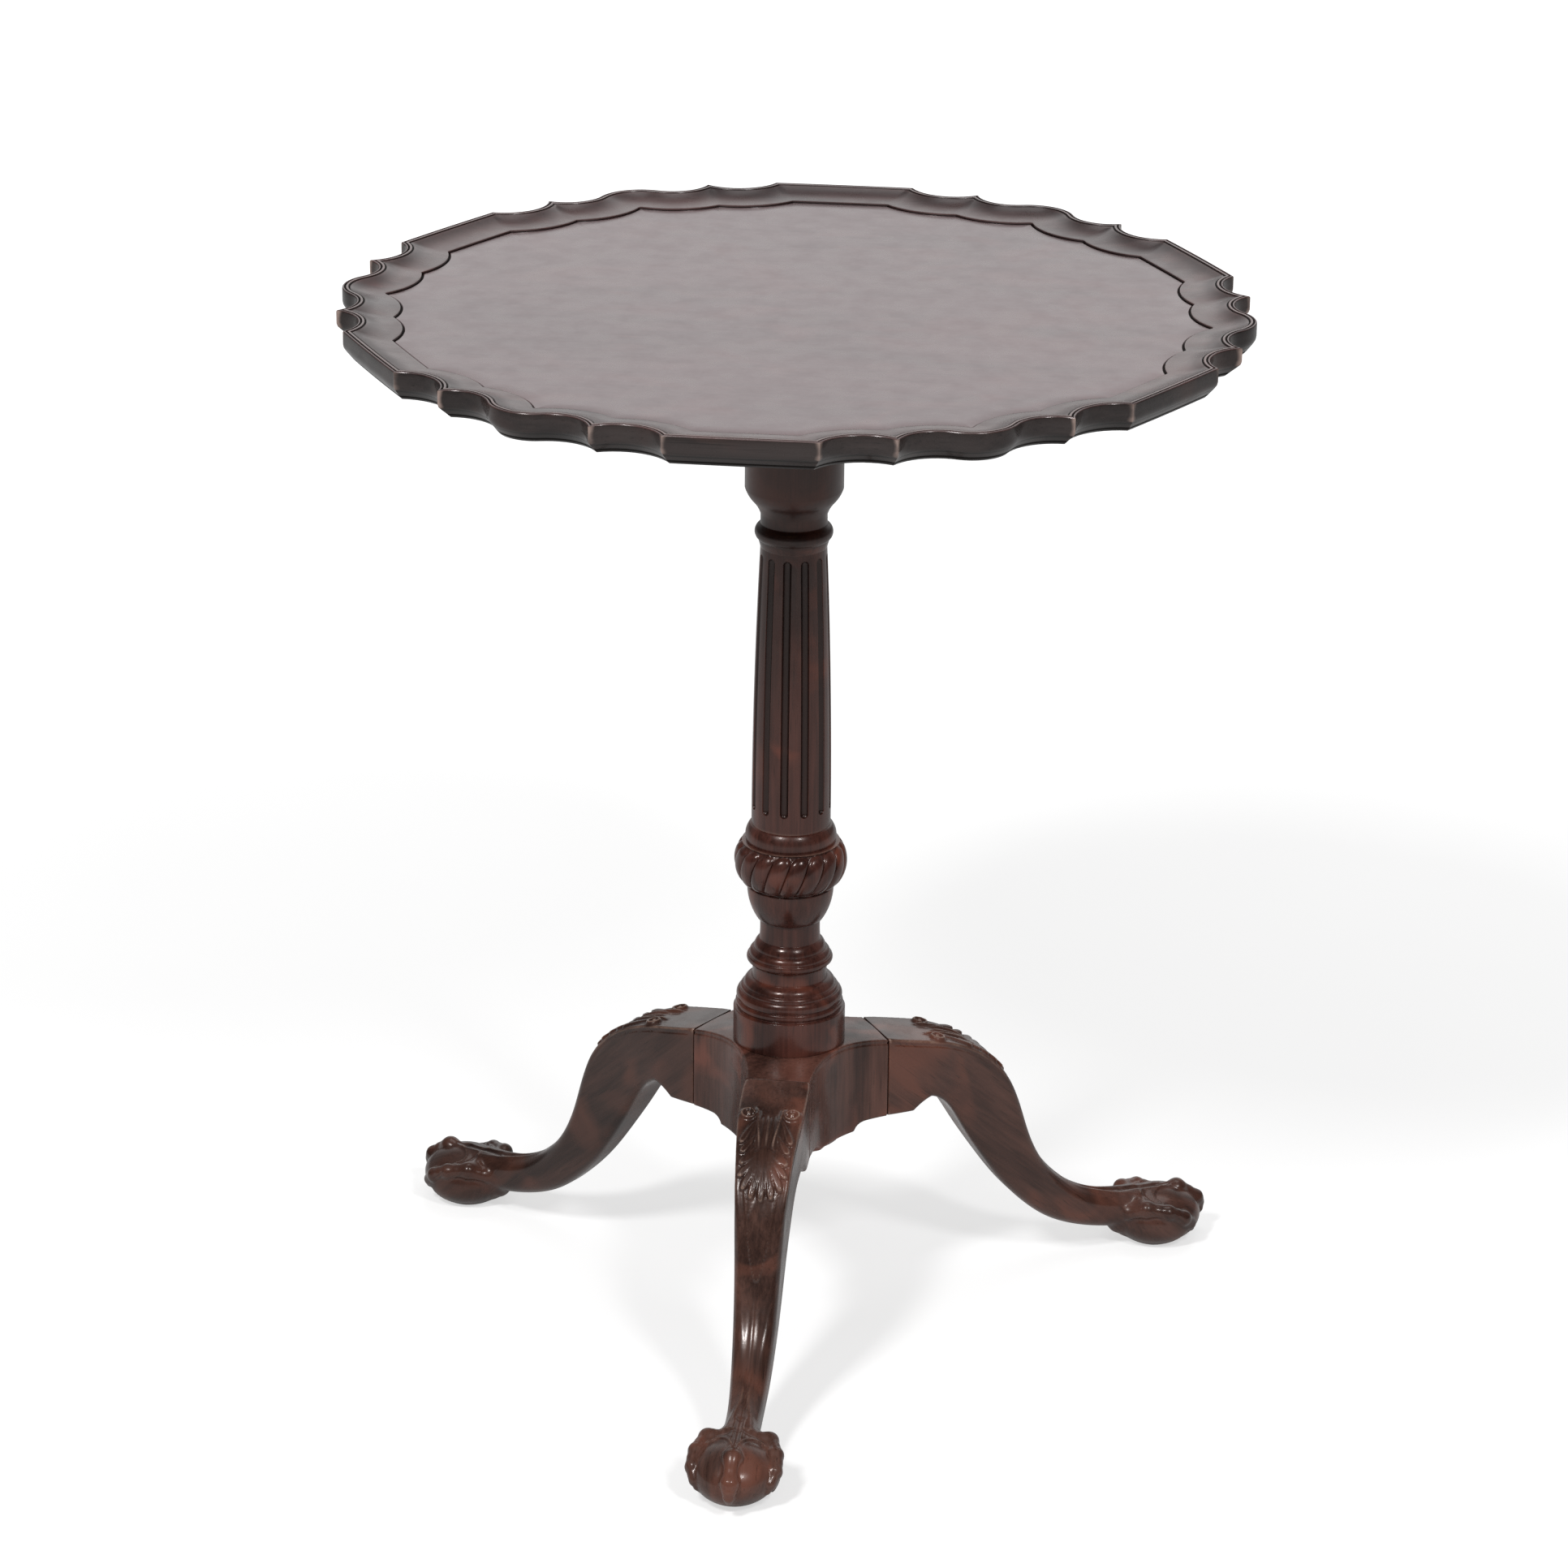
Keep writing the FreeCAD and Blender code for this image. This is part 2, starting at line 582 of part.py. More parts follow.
def strike_screws():
    places = strike_screw_places()
    return Part.makeCompound(
        [lay_along_y(screw(SMALL_SCREW_SHANK, SMALL_SCREW_HEAD, SMALL_SCREW_LENGTH), x, z) for x, z in places])


# Pillar

def pillar_foot():
    """Mouldings from the hub to the shaft: height, radius at the top, belly."""
    return [
        (DRUM_HEIGHT, DRUM_RADIUS, 0), (QUIRK, BEAD_RADIUS, 0), (BEAD_HEIGHT, BEAD_RADIUS, BEAD_SWELL),
        (FOOT_COVE_HEIGHT, RING_RADIUS, -FOOT_COVE_HOLLOW), (RING_FILLET, RING_RADIUS, 0),
        (RING_HEIGHT, RING_RADIUS, RING_SWELL), (QUIRK, RING_RADIUS, 0),
        (WAIST_HEIGHT, WAIST_RADIUS, -WAIST_HOLLOW), (CUP_HEIGHT, CUP_RADIUS, CUP_SWELL),
        (CUP_FILLET, CUP_RADIUS, 0), (KNOP_HEIGHT, KNOP_TOP_RADIUS, KNOP_SWELL), (QUIRK, COLLAR_RADIUS, 0),
        (COLLAR_HEIGHT, SHAFT_FOOT_RADIUS + COLLAR_STEP, COLLAR_SWELL), (QUIRK, SHAFT_FOOT_RADIUS, 0),
    ]


def pillar_head():
    """Mouldings from the shaft to the block: height, radius at the top, belly."""
    flared = SHAFT_NECK_RADIUS + NECK_FLARE
    middle = (SHAFT_NECK_RADIUS + CAPITAL_RADIUS) / 2
    return [
        (NECK_FLARE_HEIGHT, flared, 0), (ASTRAGAL_HEIGHT, flared, ASTRAGAL_SWELL),
        (QUIRK, SHAFT_NECK_RADIUS, 0), (NECKING_HEIGHT, SHAFT_NECK_RADIUS, 0),
        (BELL_HEIGHT / 2, middle, -BELL_SWELL),
        (BELL_HEIGHT / 2, CAPITAL_RADIUS, BELL_SWELL), (CAPITAL_DRUM, CAPITAL_RADIUS, 0),
    ]


def height_of(mouldings):
    return sum(m[0] for m in mouldings)


def stacked(foot, mouldings):
    """Outline moves of mouldings that stand on each other from the given height up."""
    moves = []
    for height, radius, belly in mouldings:
        foot += height
        moves.append((radius, foot, belly))
    return moves


def shaft_ends():
    return HUB_TOP + height_of(pillar_foot()), BLOCK_BOTTOM - height_of(pillar_head())


def column():
    shaft_foot, shaft_neck = shaft_ends()
    base = turned(
        (SPIGOT_RADIUS, HUB_TOP - SPIGOT_LENGTH),
        [(SPIGOT_RADIUS, HUB_TOP, 0), (DRUM_RADIUS, HUB_TOP, 0)] + stacked(HUB_TOP, pillar_foot()))
    head = turned(
        (SHAFT_NECK_RADIUS, shaft_neck),
        stacked(shaft_neck, pillar_head()) + [(TENON_RADIUS, BLOCK_BOTTOM, 0), (TENON_RADIUS, BLOCK_TOP, 0)])
    for k in range(GADROONS):
        base = base.cut(turned_to(gadroon_groove(), 360.0 / GADROONS * k))
    return base.fuse(fluted_shaft()).fuse(head.cut(wedge_solid()))


def fluted_shaft():
    foot, neck = shaft_ends()
    first = LEG_ANGLES["front"] + FLUTE_TURN
    shaft = turned((SHAFT_FOOT_RADIUS, foot), [(SHAFT_NECK_RADIUS, neck, SHAFT_SWELL)], entasis)
    shaft = turned_to(shaft, first + 180.0 / FLUTES)
    gouge = flute(foot, neck)
    for k in range(FLUTES):
        shaft = shaft.cut(turned_to(gouge, first + 360.0 / FLUTES * k))
    return shaft


def flute(shaft_foot, shaft_neck):
    """Round-ended gouge that follows the shaft's swell in two straight runs, on the X side."""
    foot = shaft_foot + FLUTE_FOOT_MARGIN + FLUTE_RADIUS
    neck = shaft_neck - FLUTE_NECK_MARGIN - FLUTE_RADIUS
    spots = []
    for z in (foot, (foot + neck) / 2, neck):
        share = (z - shaft_foot) / (shaft_neck - shaft_foot)
        swell = 4 * SHAFT_SWELL * share * (1 - share)
        taper = SHAFT_FOOT_RADIUS + (SHAFT_NECK_RADIUS - SHAFT_FOOT_RADIUS) * share
        spots.append(at(taper + swell + FLUTE_LIFT, 0, z))
    gouge = Part.makeSphere(FLUTE_RADIUS, spots[0])
    for a, b in zip(spots, spots[1:]):
        gouge = gouge.fuse(Part.makeCylinder(FLUTE_RADIUS, (b - a).Length, a, b - a))
        gouge = gouge.fuse(Part.makeSphere(FLUTE_RADIUS, b))
    return gouge


def gadroon_groove():
    """Gouge that climbs the knop's round face with a twist, between two of its lobes."""
    head = shaft_ends()[0] - COLLAR_HEIGHT - 2 * QUIRK
    foot = head - KNOP_HEIGHT
    face = bow(at(CUP_RADIUS, 0, foot), at(KNOP_TOP_RADIUS, 0, head), KNOP_SWELL)
    start, end = face.FirstParameter, face.LastParameter
    margin = GADROON_MARGIN / face.Length
    spots = []
    for share, turn in ((margin, -0.5), (0.5, 0.0), (1 - margin, 0.5)):
        spin = FreeCAD.Rotation(UP, GADROON_TWIST * turn)
        spots.append(spin.multVec(face.valueAt(start + (end - start) * share)))
    path = Part.Wire([arc(*spots)])
    edge = path.Edges[0]
    section = Part.Wire([Part.makeCircle(GADROON_GROOVE, spots[0], edge.tangentAt(edge.FirstParameter))])
    groove = path.makePipeShell([section], True, False)
    for tip in (spots[0], spots[-1]):
        groove = groove.fuse(Part.makeSphere(GADROON_GROOVE, tip))
    return groove


# Hub and legs

def turned_to(shape, angle):
    copy = shape.copy()
    copy.rotate(ORIGIN, UP, angle)
    return copy


def dowel_solids(radius):
    """The two dowels across one leg's joint, on the X side."""
    start = JOINT_REACH - DOWEL_LENGTH / 2
    return [Part.makeCylinder(radius, DOWEL_LENGTH, at(start, 0, z), at(1, 0, 0)) for z in DOWEL_HEIGHTS]


def leg_dowels():
    return Part.makeCompound([turned_to(d, a) for a in LEG_ANGLES.values() for d in dowel_solids(DOWEL_RADIUS)])


def hub_block():
    """Three-armed block with hollow sides, arms that fall outward and a stepped underside."""
    half = ARM_WIDTH / 2
    edges = []
    for k in range(3):
        turn = 120.0 * k + LEG_ANGLES["right"]
        near, far = at(JOINT_REACH, -half), at(JOINT_REACH, half)
        spin = FreeCAD.Rotation(UP, turn)
        after = FreeCAD.Rotation(UP, turn + 120.0)
        edges.append(line(spin.multVec(near), spin.multVec(far)))
        edges.append(arc(spin.multVec(far), polar(HUB_WAIST, turn + 60.0), after.multVec(near)))
    rim = JOINT_REACH + half
    plan = solid_between(edges, at(0, 0, HUB_TOP))
    ledge = HUB_UNDERSIDE - HUB_STEP
    foot = ledge - HUB_PAD
    form = turned((HUB_WAIST - HUB_PAD, foot), [
        (HUB_WAIST, ledge, -HUB_STEP_HOLLOW), (HUB_WAIST + HUB_STEP_WIDTH, ledge, 0),
        (HUB_WAIST + HUB_STEP_WIDTH + HUB_STEP, HUB_UNDERSIDE, -HUB_STEP_HOLLOW), (rim, HUB_UNDERSIDE, 0),
        (rim, HUB_TOP - HUB_SLOPE * (rim - HUB_WAIST), 0), (HUB_WAIST, HUB_TOP, 0),
    ])
    hub = plan.common(form)
    hub = hub.cut(drill((0, 0), SPIGOT_RADIUS + FIT_GAP, HUB_TOP - SPIGOT_LENGTH - REST_GAP, HUB_TOP))
    for angle in LEG_ANGLES.values():
        for hole in dowel_solids(DOWEL_RADIUS + FIT_GAP):
            hub = hub.cut(turned_to(hole, angle))
    return hub


# Cabriole curve. Each station gives the top line and the underside as shares of the leg's reach past
# the joint and of the joint's height, then its width as a share from the ankle (0) to the arm (1),
# and how round its corners are (0 square, 1 oval).
LEG_STATIONS = (
    (0.000, 1.000, 0.000, 0.756, 1.00, 0.10),
    (0.119, 0.973, 0.137, 0.756, 1.00, 0.12),
    (0.220, 0.945, 0.188, 0.723, 0.87, 0.16),
    (0.318, 0.891, 0.225, 0.666, 0.70, 0.20),
    (0.410, 0.795, 0.268, 0.581, 0.55, 0.26),
    (0.478, 0.649, 0.345, 0.451, 0.40, 0.34),
    (0.519, 0.515, 0.425, 0.335, 0.31, 0.42),
    (0.584, 0.383, 0.515, 0.236, 0.22, 0.52),
    (0.700, 0.265, 0.632, 0.147, 0.09, 0.62),
    (0.820, 0.215, 0.785, 0.089, 0.00, 0.72),
    (0.930, 0.206, 0.920, 0.069, 0.20, 0.78),
)


def leg_section(station):
    top_r, top_z, under_r, under_z, width_share, roundness = station
    span = FOOT_REACH - JOINT_REACH
    top = at(JOINT_REACH + span * top_r, 0, JOINT_TOP * top_z)
    under = at(JOINT_REACH + span * under_r, 0, JOINT_TOP * under_z)
    half = (ANKLE_WIDTH + (ARM_WIDTH - ANKLE_WIDTH) * width_share) / 2
    rise = top - under
    tall = rise.Length / 2
    lift = rise.normalize()
    centre = (top + under) * 0.5
    corner = roundness * min(half, tall)
    ease = corner * (1 - math.sqrt(0.5))

    def spot(u, v):
        return centre + at(0, u, 0) + lift * v
    edges = []
    for su, sv in ((1, 1), (-1, 1), (-1, -1), (1, -1)):
        rising = spot(su * half, sv * (tall - corner))
        flat = spot(su * (half - corner), sv * tall)
        middle = spot(su * (half - ease), sv * (tall - ease))
        ends = (rising, middle, flat) if su * sv > 0 else (flat, middle, rising)
        if edges:
            edges.append(line(edges[-1].Vertexes[-1].Point, ends[0]))
        edges.append(arc(*ends))
    edges.append(line(edges[-1].Vertexes[-1].Point, edges[0].Vertexes[0].Point))
    return Part.Wire(edges)


def leg_bracket():
    """Cusped bracket under the leg's inner end, in line with the hub's underside."""
    high = HUB_UNDERSIDE + BRACKET_DEPTH
    toe = JOINT_REACH + BRACKET_LENGTH
    arch = toe + BRACKET_LENGTH
    half = ARM_WIDTH / 2
    edges = [
        line(at(JOINT_REACH, -half, high), at(JOINT_REACH, -half, HUB_UNDERSIDE)),
        line(at(JOINT_REACH, -half, HUB_UNDERSIDE), at(toe, -half, HUB_UNDERSIDE)),
        bow(at(toe, -half, HUB_UNDERSIDE), at(arch, -half, high), -BRACKET_HOLLOW),
        line(at(arch, -half, high), at(JOINT_REACH, -half, high)),
    ]
    return solid_between(edges, at(0, ARM_WIDTH, 0))


def talon(directions, side=1):
    """Round talon along an arc over the ball, with a knuckle halfway."""
    points = []
    for out, across, up in directions:
        way = at(out, side * across, up).normalize()
        flat, rise = BALL_RADIUS + TALON_OFFSET, BALL_RISE + TALON_OFFSET
        points.append(BALL_CENTRE + at(way.x * flat, way.y * flat, way.z * rise))
    path = Part.Wire([arc(*points)])
    edge = path.Edges[0]
    section = Part.Wire([Part.makeCircle(TALON_RADIUS, points[0], edge.tangentAt(edge.FirstParameter))])
    grip = path.makePipeShell([section], True, False)
    grip = grip.fuse(Part.makeSphere(KNUCKLE_RADIUS, points[1]))
    return grip.fuse(Part.makeSphere(TALON_RADIUS, points[2]))


def flattened_ball():
    """Turned ball that stands on its flat; its top lies inside the talons."""
    widest = BALL_RISE - BALL_SINK
    ball = turned((BALL_FLAT, 0), [
        (BALL_RADIUS, widest, BALL_RISE * 0.2), (TALON_RADIUS / 2, widest + BALL_RISE, BALL_RISE * 0.33)])
    ball.translate(at(FOOT_REACH, 0))
    return ball


def claw_and_ball():
    foot = flattened_ball()
    for one in (talon(FRONT_TALON), talon(BACK_TALON), talon(SIDE_TALON), talon(SIDE_TALON, -1)):
        foot = foot.fuse(one)
    return foot


def leg():
    """Front leg's shape on the X side, standing on the flat of its ball."""
    limb = Part.makeLoft([leg_section(s) for s in LEG_STATIONS], True, False)
    limb = limb.fuse(leg_bracket()).fuse(claw_and_ball())
    for hole in dowel_solids(DOWEL_RADIUS + FIT_GAP):
        limb = limb.cut(hole)
    return limb.removeSplitter()


def nodes():
    one_leg = leg()
    made = {
        "column": column(),
        "hub_block": hub_block(),
        "leg_dowels": leg_dowels(),
        "pivot_block": pivot_block(),
        "pivot_pins": pivot_pins(),
        "tenon_wedge": wedge_solid(),
        "strike_plate": strike_plate(),
        "strike_screws": strike_screws(),
        "table_top": table_top(),
        "bearer_left": bearer(-1),
        "bearer_right": bearer(1),
        "bearer_screws": bearer_screws(),
        "catch_case": catch_case(),
        "catch_screws": catch_screws(),
        "catch_bolt": catch_bolt(),
        "catch_knob": catch_knob(),
        "catch_spring": catch_spring(),
    }
    for name, angle in LEG_ANGLES.items():
        made["leg_" + name] = turned_to(one_leg, angle)
    return made


def main():
    os.makedirs("parts", exist_ok=True)
    for name, shape in nodes().items():
        shape.exportStep("parts/" + name + ".step")
        box = shape.BoundBox
        print(f"{name}: {len(shape.Solids)} solid(s), {shape.Volume / 1000:.2f} cm3, valid {shape.isValid()}, "
              f"z {box.ZMin:.1f} to {box.ZMax:.1f}")


main()
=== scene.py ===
"""Looks of a tilt-top tripod table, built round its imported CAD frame.

The classes hold their sizes in millimetres; MM turns them into Blender's metres.
"""
import logging
import math
from dataclasses import dataclass, field, replace
from enum import Enum, IntEnum
from typing import Iterator, Sequence

import bmesh
import bpy
import numpy as np
from mathutils import Matrix, Vector


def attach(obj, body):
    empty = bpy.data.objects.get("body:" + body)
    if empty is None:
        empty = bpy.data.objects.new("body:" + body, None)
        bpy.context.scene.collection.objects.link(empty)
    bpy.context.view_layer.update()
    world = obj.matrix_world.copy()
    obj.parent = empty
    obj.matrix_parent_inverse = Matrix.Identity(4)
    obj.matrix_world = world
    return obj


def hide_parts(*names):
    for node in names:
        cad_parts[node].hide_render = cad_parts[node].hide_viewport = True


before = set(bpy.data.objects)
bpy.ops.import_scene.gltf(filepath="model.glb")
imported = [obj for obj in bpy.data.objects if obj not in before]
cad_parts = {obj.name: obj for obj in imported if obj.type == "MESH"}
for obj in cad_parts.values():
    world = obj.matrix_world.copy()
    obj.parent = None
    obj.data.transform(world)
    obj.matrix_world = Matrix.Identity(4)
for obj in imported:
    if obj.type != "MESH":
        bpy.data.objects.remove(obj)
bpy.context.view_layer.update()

log = logging.getLogger("table")
MM = 0.001
WELD = 0.02 * MM
Pair = tuple[float, float]
Triple = tuple[float, float, float]
Bead = tuple[float, float, float, float]
Array = np.ndarray
Tree = bpy.types.NodeTree
Place = tuple[Array, Array, Array]
MeshData = tuple[Array, list[list[int]]]
Skin = tuple[Array, Array]
Socket = bpy.types.NodeSocket
Piece = bpy.types.Object


class Body(Enum):
    """Bodies that the made pieces ride on."""
    BASE = "base"
    TOP = "top"


class Slot(Enum):
    """Material slots of the record."""
    BASE_WOOD = "base_wood"
    TOP_WOOD = "top_wood"
    INNER_WOOD = "inner_wood"
    BRASS = "brass"
    IRON = "iron"
    SPRING_STEEL = "spring_steel"


class Grain(Enum):
    """Where a wood finish takes the run of its grain from."""
    ATTRIBUTE = "grain"
    OBJECT = "object"


class LegPlace(Enum):
    """Directions of the legs, in degrees."""
    FRONT = -90.0
    RIGHT = 30.0
    LEFT = 150.0


class TrayFace(IntEnum):
    """Kinds of face on the tray, in the order of its materials."""
    FIELD = 0
    COVE = 1
    EDGE = 2
    UNDERSIDE = 3
    LINE = 4


class NodeSheet:
    """Lays out the nodes of one tree."""

    def __init__(self, tree: Tree) -> None:
        """Starts an empty sheet on a tree."""
        self.tree = tree
        tree.nodes.clear()

    def add(self, kind: str, **inputs: object) -> bpy.types.Node:
        """Adds a node and sets or links its inputs by name."""
        node = self.tree.nodes.new(kind)
        for name, value in inputs.items():
            self.put(node.inputs[name.replace("_", " ")], value)
        return node

    def put(self, socket: Socket, value: object) -> None:
        """Links a socket to another one, or sets its value."""
        if isinstance(value, Socket):
            self.tree.links.new(value, socket)
        else:
            socket.default_value = value

    def coordinates(self, grain: Grain) -> Socket:
        """Finds the vector that a pattern follows, in metres."""
        if grain is Grain.OBJECT:
            return self.add("ShaderNodeTexCoord").outputs["Object"]
        return self.attribute(grain.value).outputs["Vector"]

    def attribute(self, name: str) -> bpy.types.Node:
        """Adds a node that reads a mesh attribute."""
        node = self.add("ShaderNodeAttribute")
        node.attribute_name = name
        return node

    def scaled(self, vector: Socket, scale: Sequence[float]) -> Socket:
        """Stretches a pattern's coordinates."""
        return self.add("ShaderNodeMapping", Vector=vector, Scale=tuple(scale)).outputs["Vector"]

    def noise(self, vector: Socket, scale: float, detail: float, rough: float,
              distortion: float = 0.0) -> Socket:
        """Adds a noise texture and gives its grey value."""
        node = self.add("ShaderNodeTexNoise", Vector=vector, Scale=scale, Detail=detail, Roughness=rough,
                        Distortion=distortion)
        return node.outputs["Fac"]

    def span(self, value: Socket, source: Pair, target: Pair = (0.0, 1.0)) -> Socket:
        """Maps a value smoothly from the source range to the target range."""
        node = self.add("ShaderNodeMapRange", Value=value, From_Min=source[0], From_Max=source[1],
                        To_Min=target[0], To_Max=target[1])
        node.interpolation_type = "SMOOTHSTEP"
        return node.outputs["Result"]

    def math(self, operation: str, *values: object) -> Socket:
        """Adds one sum.

        Args:
            operation: the sum's name.
            values: its sockets or numbers, in order.

        Returns:
            The result.
        """
        node = self.add("ShaderNodeMath")
        node.operation = operation
        for socket, value in zip(node.inputs, values):
            self.put(socket, value)
        return node.outputs[0]

    def product(self, a: object, b: object) -> Socket:
        """Multiplies two values."""
        return self.math("MULTIPLY", a, b)

    def mix(self, share: Socket, a: object, b: object) -> Socket:
        """Mixes two colours.

        Args:
            share: how much of the second shows.
            a, b: colours or sockets.

        Returns:
            The mixed colour.
        """
        node = self.tree.nodes.new("ShaderNodeMix")
        node.data_type = "RGBA"
        self.put(node.inputs["Factor"], share)
        for socket, value in ((node.inputs[6], a), (node.inputs[7], b)):
            self.put(socket, (*value, 1.0) if isinstance(value, tuple) else value)
        return node.outputs[2]

    def bump(self, height: Socket, strength: float, depth: float) -> Socket:
        """Turns a height into a normal, with its depth in millimetres."""
        node = self.add("ShaderNodeBump", Height=height, Strength=strength, Distance=depth * MM)
        return node.outputs["Normal"]

    def surface(self, **inputs: object) -> None:
        """Ends the sheet in a principled surface."""
        shader = self.add("ShaderNodeBsdfPrincipled", **inputs)
        self.add("ShaderNodeOutputMaterial", Surface=shader.outputs[0])


@dataclass(frozen=True)
class Finish:
    """Surface of a piece, built once under its name."""
    name: str
    slot: Slot

    def material(self) -> bpy.types.Material:
        """Builds the finish at the first call and gives it again later.

        Returns:
            The material.
        """
        made = bpy.data.materials.get(self.name)
        if made is None:
            made = bpy.data.materials.new(self.name)
            made.use_nodes = True
            self.lay_out(NodeSheet(made.node_tree))
        return made

    def lay_out(self, sheet: NodeSheet) -> None:
        """Lays the finish's nodes on an empty sheet."""
        raise NotImplementedError


@dataclass(frozen=True)
class WoodFinish(Finish):
    """Polished or stained hardwood with fibres, pores, drifting colour, worn arrises, and dirt and painted
    shade in recesses.
    """
    dark: Triple
    light: Triple
    blush: Triple
    worn: Triple
    grain: Grain = Grain.OBJECT
    fibre: Triple = (14.0, 420.0, 420.0)
    drift: Triple = (5.0, 28.0, 28.0)
    fibre_share: float = 0.3
    pores: float = 0.55
    roughness: Pair = (0.20, 0.36)
    wear: float = 0.8
    rub: Pair = (0.10, 0.42)
    coat: float = 0.12
    coat_roughness: float = 0.08
    specular: float = 0.28
    tint: Triple = (1.0, 0.80, 0.73)
    relief: float = 0.1
    PORE_STRETCH = (1.6, 2.4, 2.4)
    PATCH_STRETCH = (0.6, 1.0, 1.0)
    TONE_RANGE = (0.34, 0.66)
    BLUSH_RANGE = (0.50, 0.72)
    BLUSH_SHARE = 0.75
    PORE_RANGE = (0.60, 0.74)
    PORE_TONE = 0.3
    RUB_MOTTLE = (0.30, 0.62)
    RUB_SHARES = (0.25, 1.0)
    DIRT_AND_SHADE_RANGE = (0.06, 0.34)
    DIRT_AND_SHADE_SHARE = 0.8
    DIRT_AND_SHADE_TONE = 0.22
    DIRT_AND_SHADE_DULLING = 0.4
    GLOSS_MOTTLE = (0.3, 0.8)
    FIBRE_HEIGHT = 0.5
    RELIEF_DEPTH = 0.35

    def lay_out(self, sheet: NodeSheet) -> None:
        """Lays out colour, gloss and relief of the wood.

        Args:
            sheet: the material's empty sheet.
        """
        place = sheet.coordinates(self.grain)
        along = sheet.scaled(place, self.fibre)
        fibres = sheet.noise(along, scale=1.0, detail=5.0, rough=0.62, distortion=0.35)
        drift = sheet.noise(sheet.scaled(place, self.drift), scale=1.0, detail=3.0, rough=0.55,
                            distortion=0.6)
        pores = sheet.noise(sheet.scaled(along, self.PORE_STRETCH), scale=1.0, detail=2.0, rough=0.5)
        mottle = sheet.noise(place, scale=55.0, detail=4.0, rough=0.6)
        patches = sheet.noise(sheet.scaled(place, self.PATCH_STRETCH), scale=26.0, detail=2.0, rough=0.5,
                              distortion=0.8)
        tone = sheet.math("ADD", sheet.product(fibres, self.fibre_share),
                          sheet.product(drift, 1.0 - self.fibre_share))
        colour = sheet.mix(sheet.span(tone, self.TONE_RANGE), self.dark, self.light)
        colour = sheet.mix(sheet.span(patches, self.BLUSH_RANGE, (0.0, self.BLUSH_SHARE)), colour, self.blush)
        pore_depth = sheet.span(pores, self.PORE_RANGE, (0.0, self.pores))
        colour = sheet.mix(pore_depth, colour, tuple(self.PORE_TONE * c for c in self.dark))
        edge = sheet.attribute("edge").outputs["Fac"]
        rubbed = sheet.product(sheet.span(edge, self.rub, (0.0, self.wear)),
                               sheet.span(mottle, self.RUB_MOTTLE, self.RUB_SHARES))
        colour = sheet.mix(rubbed, colour, self.worn)
        # Below zero, edge darkens the colour: dirt along joints, and painted shade in recesses, flutes, the
        # capital and the tray's rim.
        dirt_and_shade = sheet.span(sheet.product(edge, -1.0), self.DIRT_AND_SHADE_RANGE, (0.0, self.DIRT_AND_SHADE_SHARE))
        colour = sheet.mix(dirt_and_shade, colour, tuple(self.DIRT_AND_SHADE_TONE * c for c in self.dark))
        dullness = sheet.math("ADD", mottle, sheet.product(dirt_and_shade, self.DIRT_AND_SHADE_DULLING))
        gloss = sheet.span(dullness, self.GLOSS_MOTTLE, self.roughness)
        height = sheet.math("SUBTRACT", sheet.product(fibres, self.FIBRE_HEIGHT), pore_depth)
        normal = sheet.bump(height, self.relief, self.RELIEF_DEPTH)
        sheet.surface(Base_Color=colour, Roughness=gloss, Normal=normal, Specular_IOR_Level=self.specular,
                      Specular_Tint=(*self.tint, 1.0), Coat_Weight=self.coat,
                      Coat_Roughness=self.coat_roughness)


@dataclass(frozen=True)
class MetalFinish(Finish):
    """Aged metal with tarnish, rubbed edges and fine scratches."""
    bright: Triple
    tarnish: Triple
    roughness: Pair = (0.25, 0.5)
    pitting: float = 0.15
    SCRATCH_STRETCH = (900.0, 90.0, 900.0)
    TARNISH_RANGE = (0.38, 0.66)
    TARNISH_SHARES = (0.15, 0.95)
    RUB_RANGE = (0.1, 0.5)
    RUB_SHARE = 0.8
    SCRATCH_DULLING = 0.4
    GLOSS_RANGE = (0.4, 0.9)
    PIT_DEPTH = 0.2

    def lay_out(self, sheet: NodeSheet) -> None:
        """Lays out tarnish, gloss and pitting of the metal.

        Args:
            sheet: the material's empty sheet.
        """
        place = sheet.coordinates(Grain.OBJECT)
        patches = sheet.noise(place, scale=160.0, detail=5.0, rough=0.6, distortion=0.4)
        scratches = sheet.noise(sheet.scaled(place, self.SCRATCH_STRETCH), scale=1.0, detail=3.0, rough=0.6)
        edge = sheet.attribute("edge").outputs["Fac"]
        share = sheet.math("SUBTRACT", sheet.span(patches, self.TARNISH_RANGE, self.TARNISH_SHARES),
                           sheet.span(edge, self.RUB_RANGE, (0.0, self.RUB_SHARE)))
        colour = sheet.mix(sheet.span(share, (0.0, 1.0)), self.bright, self.tarnish)
        dullness = sheet.math("ADD", patches, sheet.product(scratches, self.SCRATCH_DULLING))
        gloss = sheet.span(dullness, self.GLOSS_RANGE, self.roughness)
        normal = sheet.bump(sheet.math("ADD", patches, scratches), self.pitting, self.PIT_DEPTH)
        sheet.surface(Base_Color=colour, Metallic=1.0, Roughness=gloss, Normal=normal)


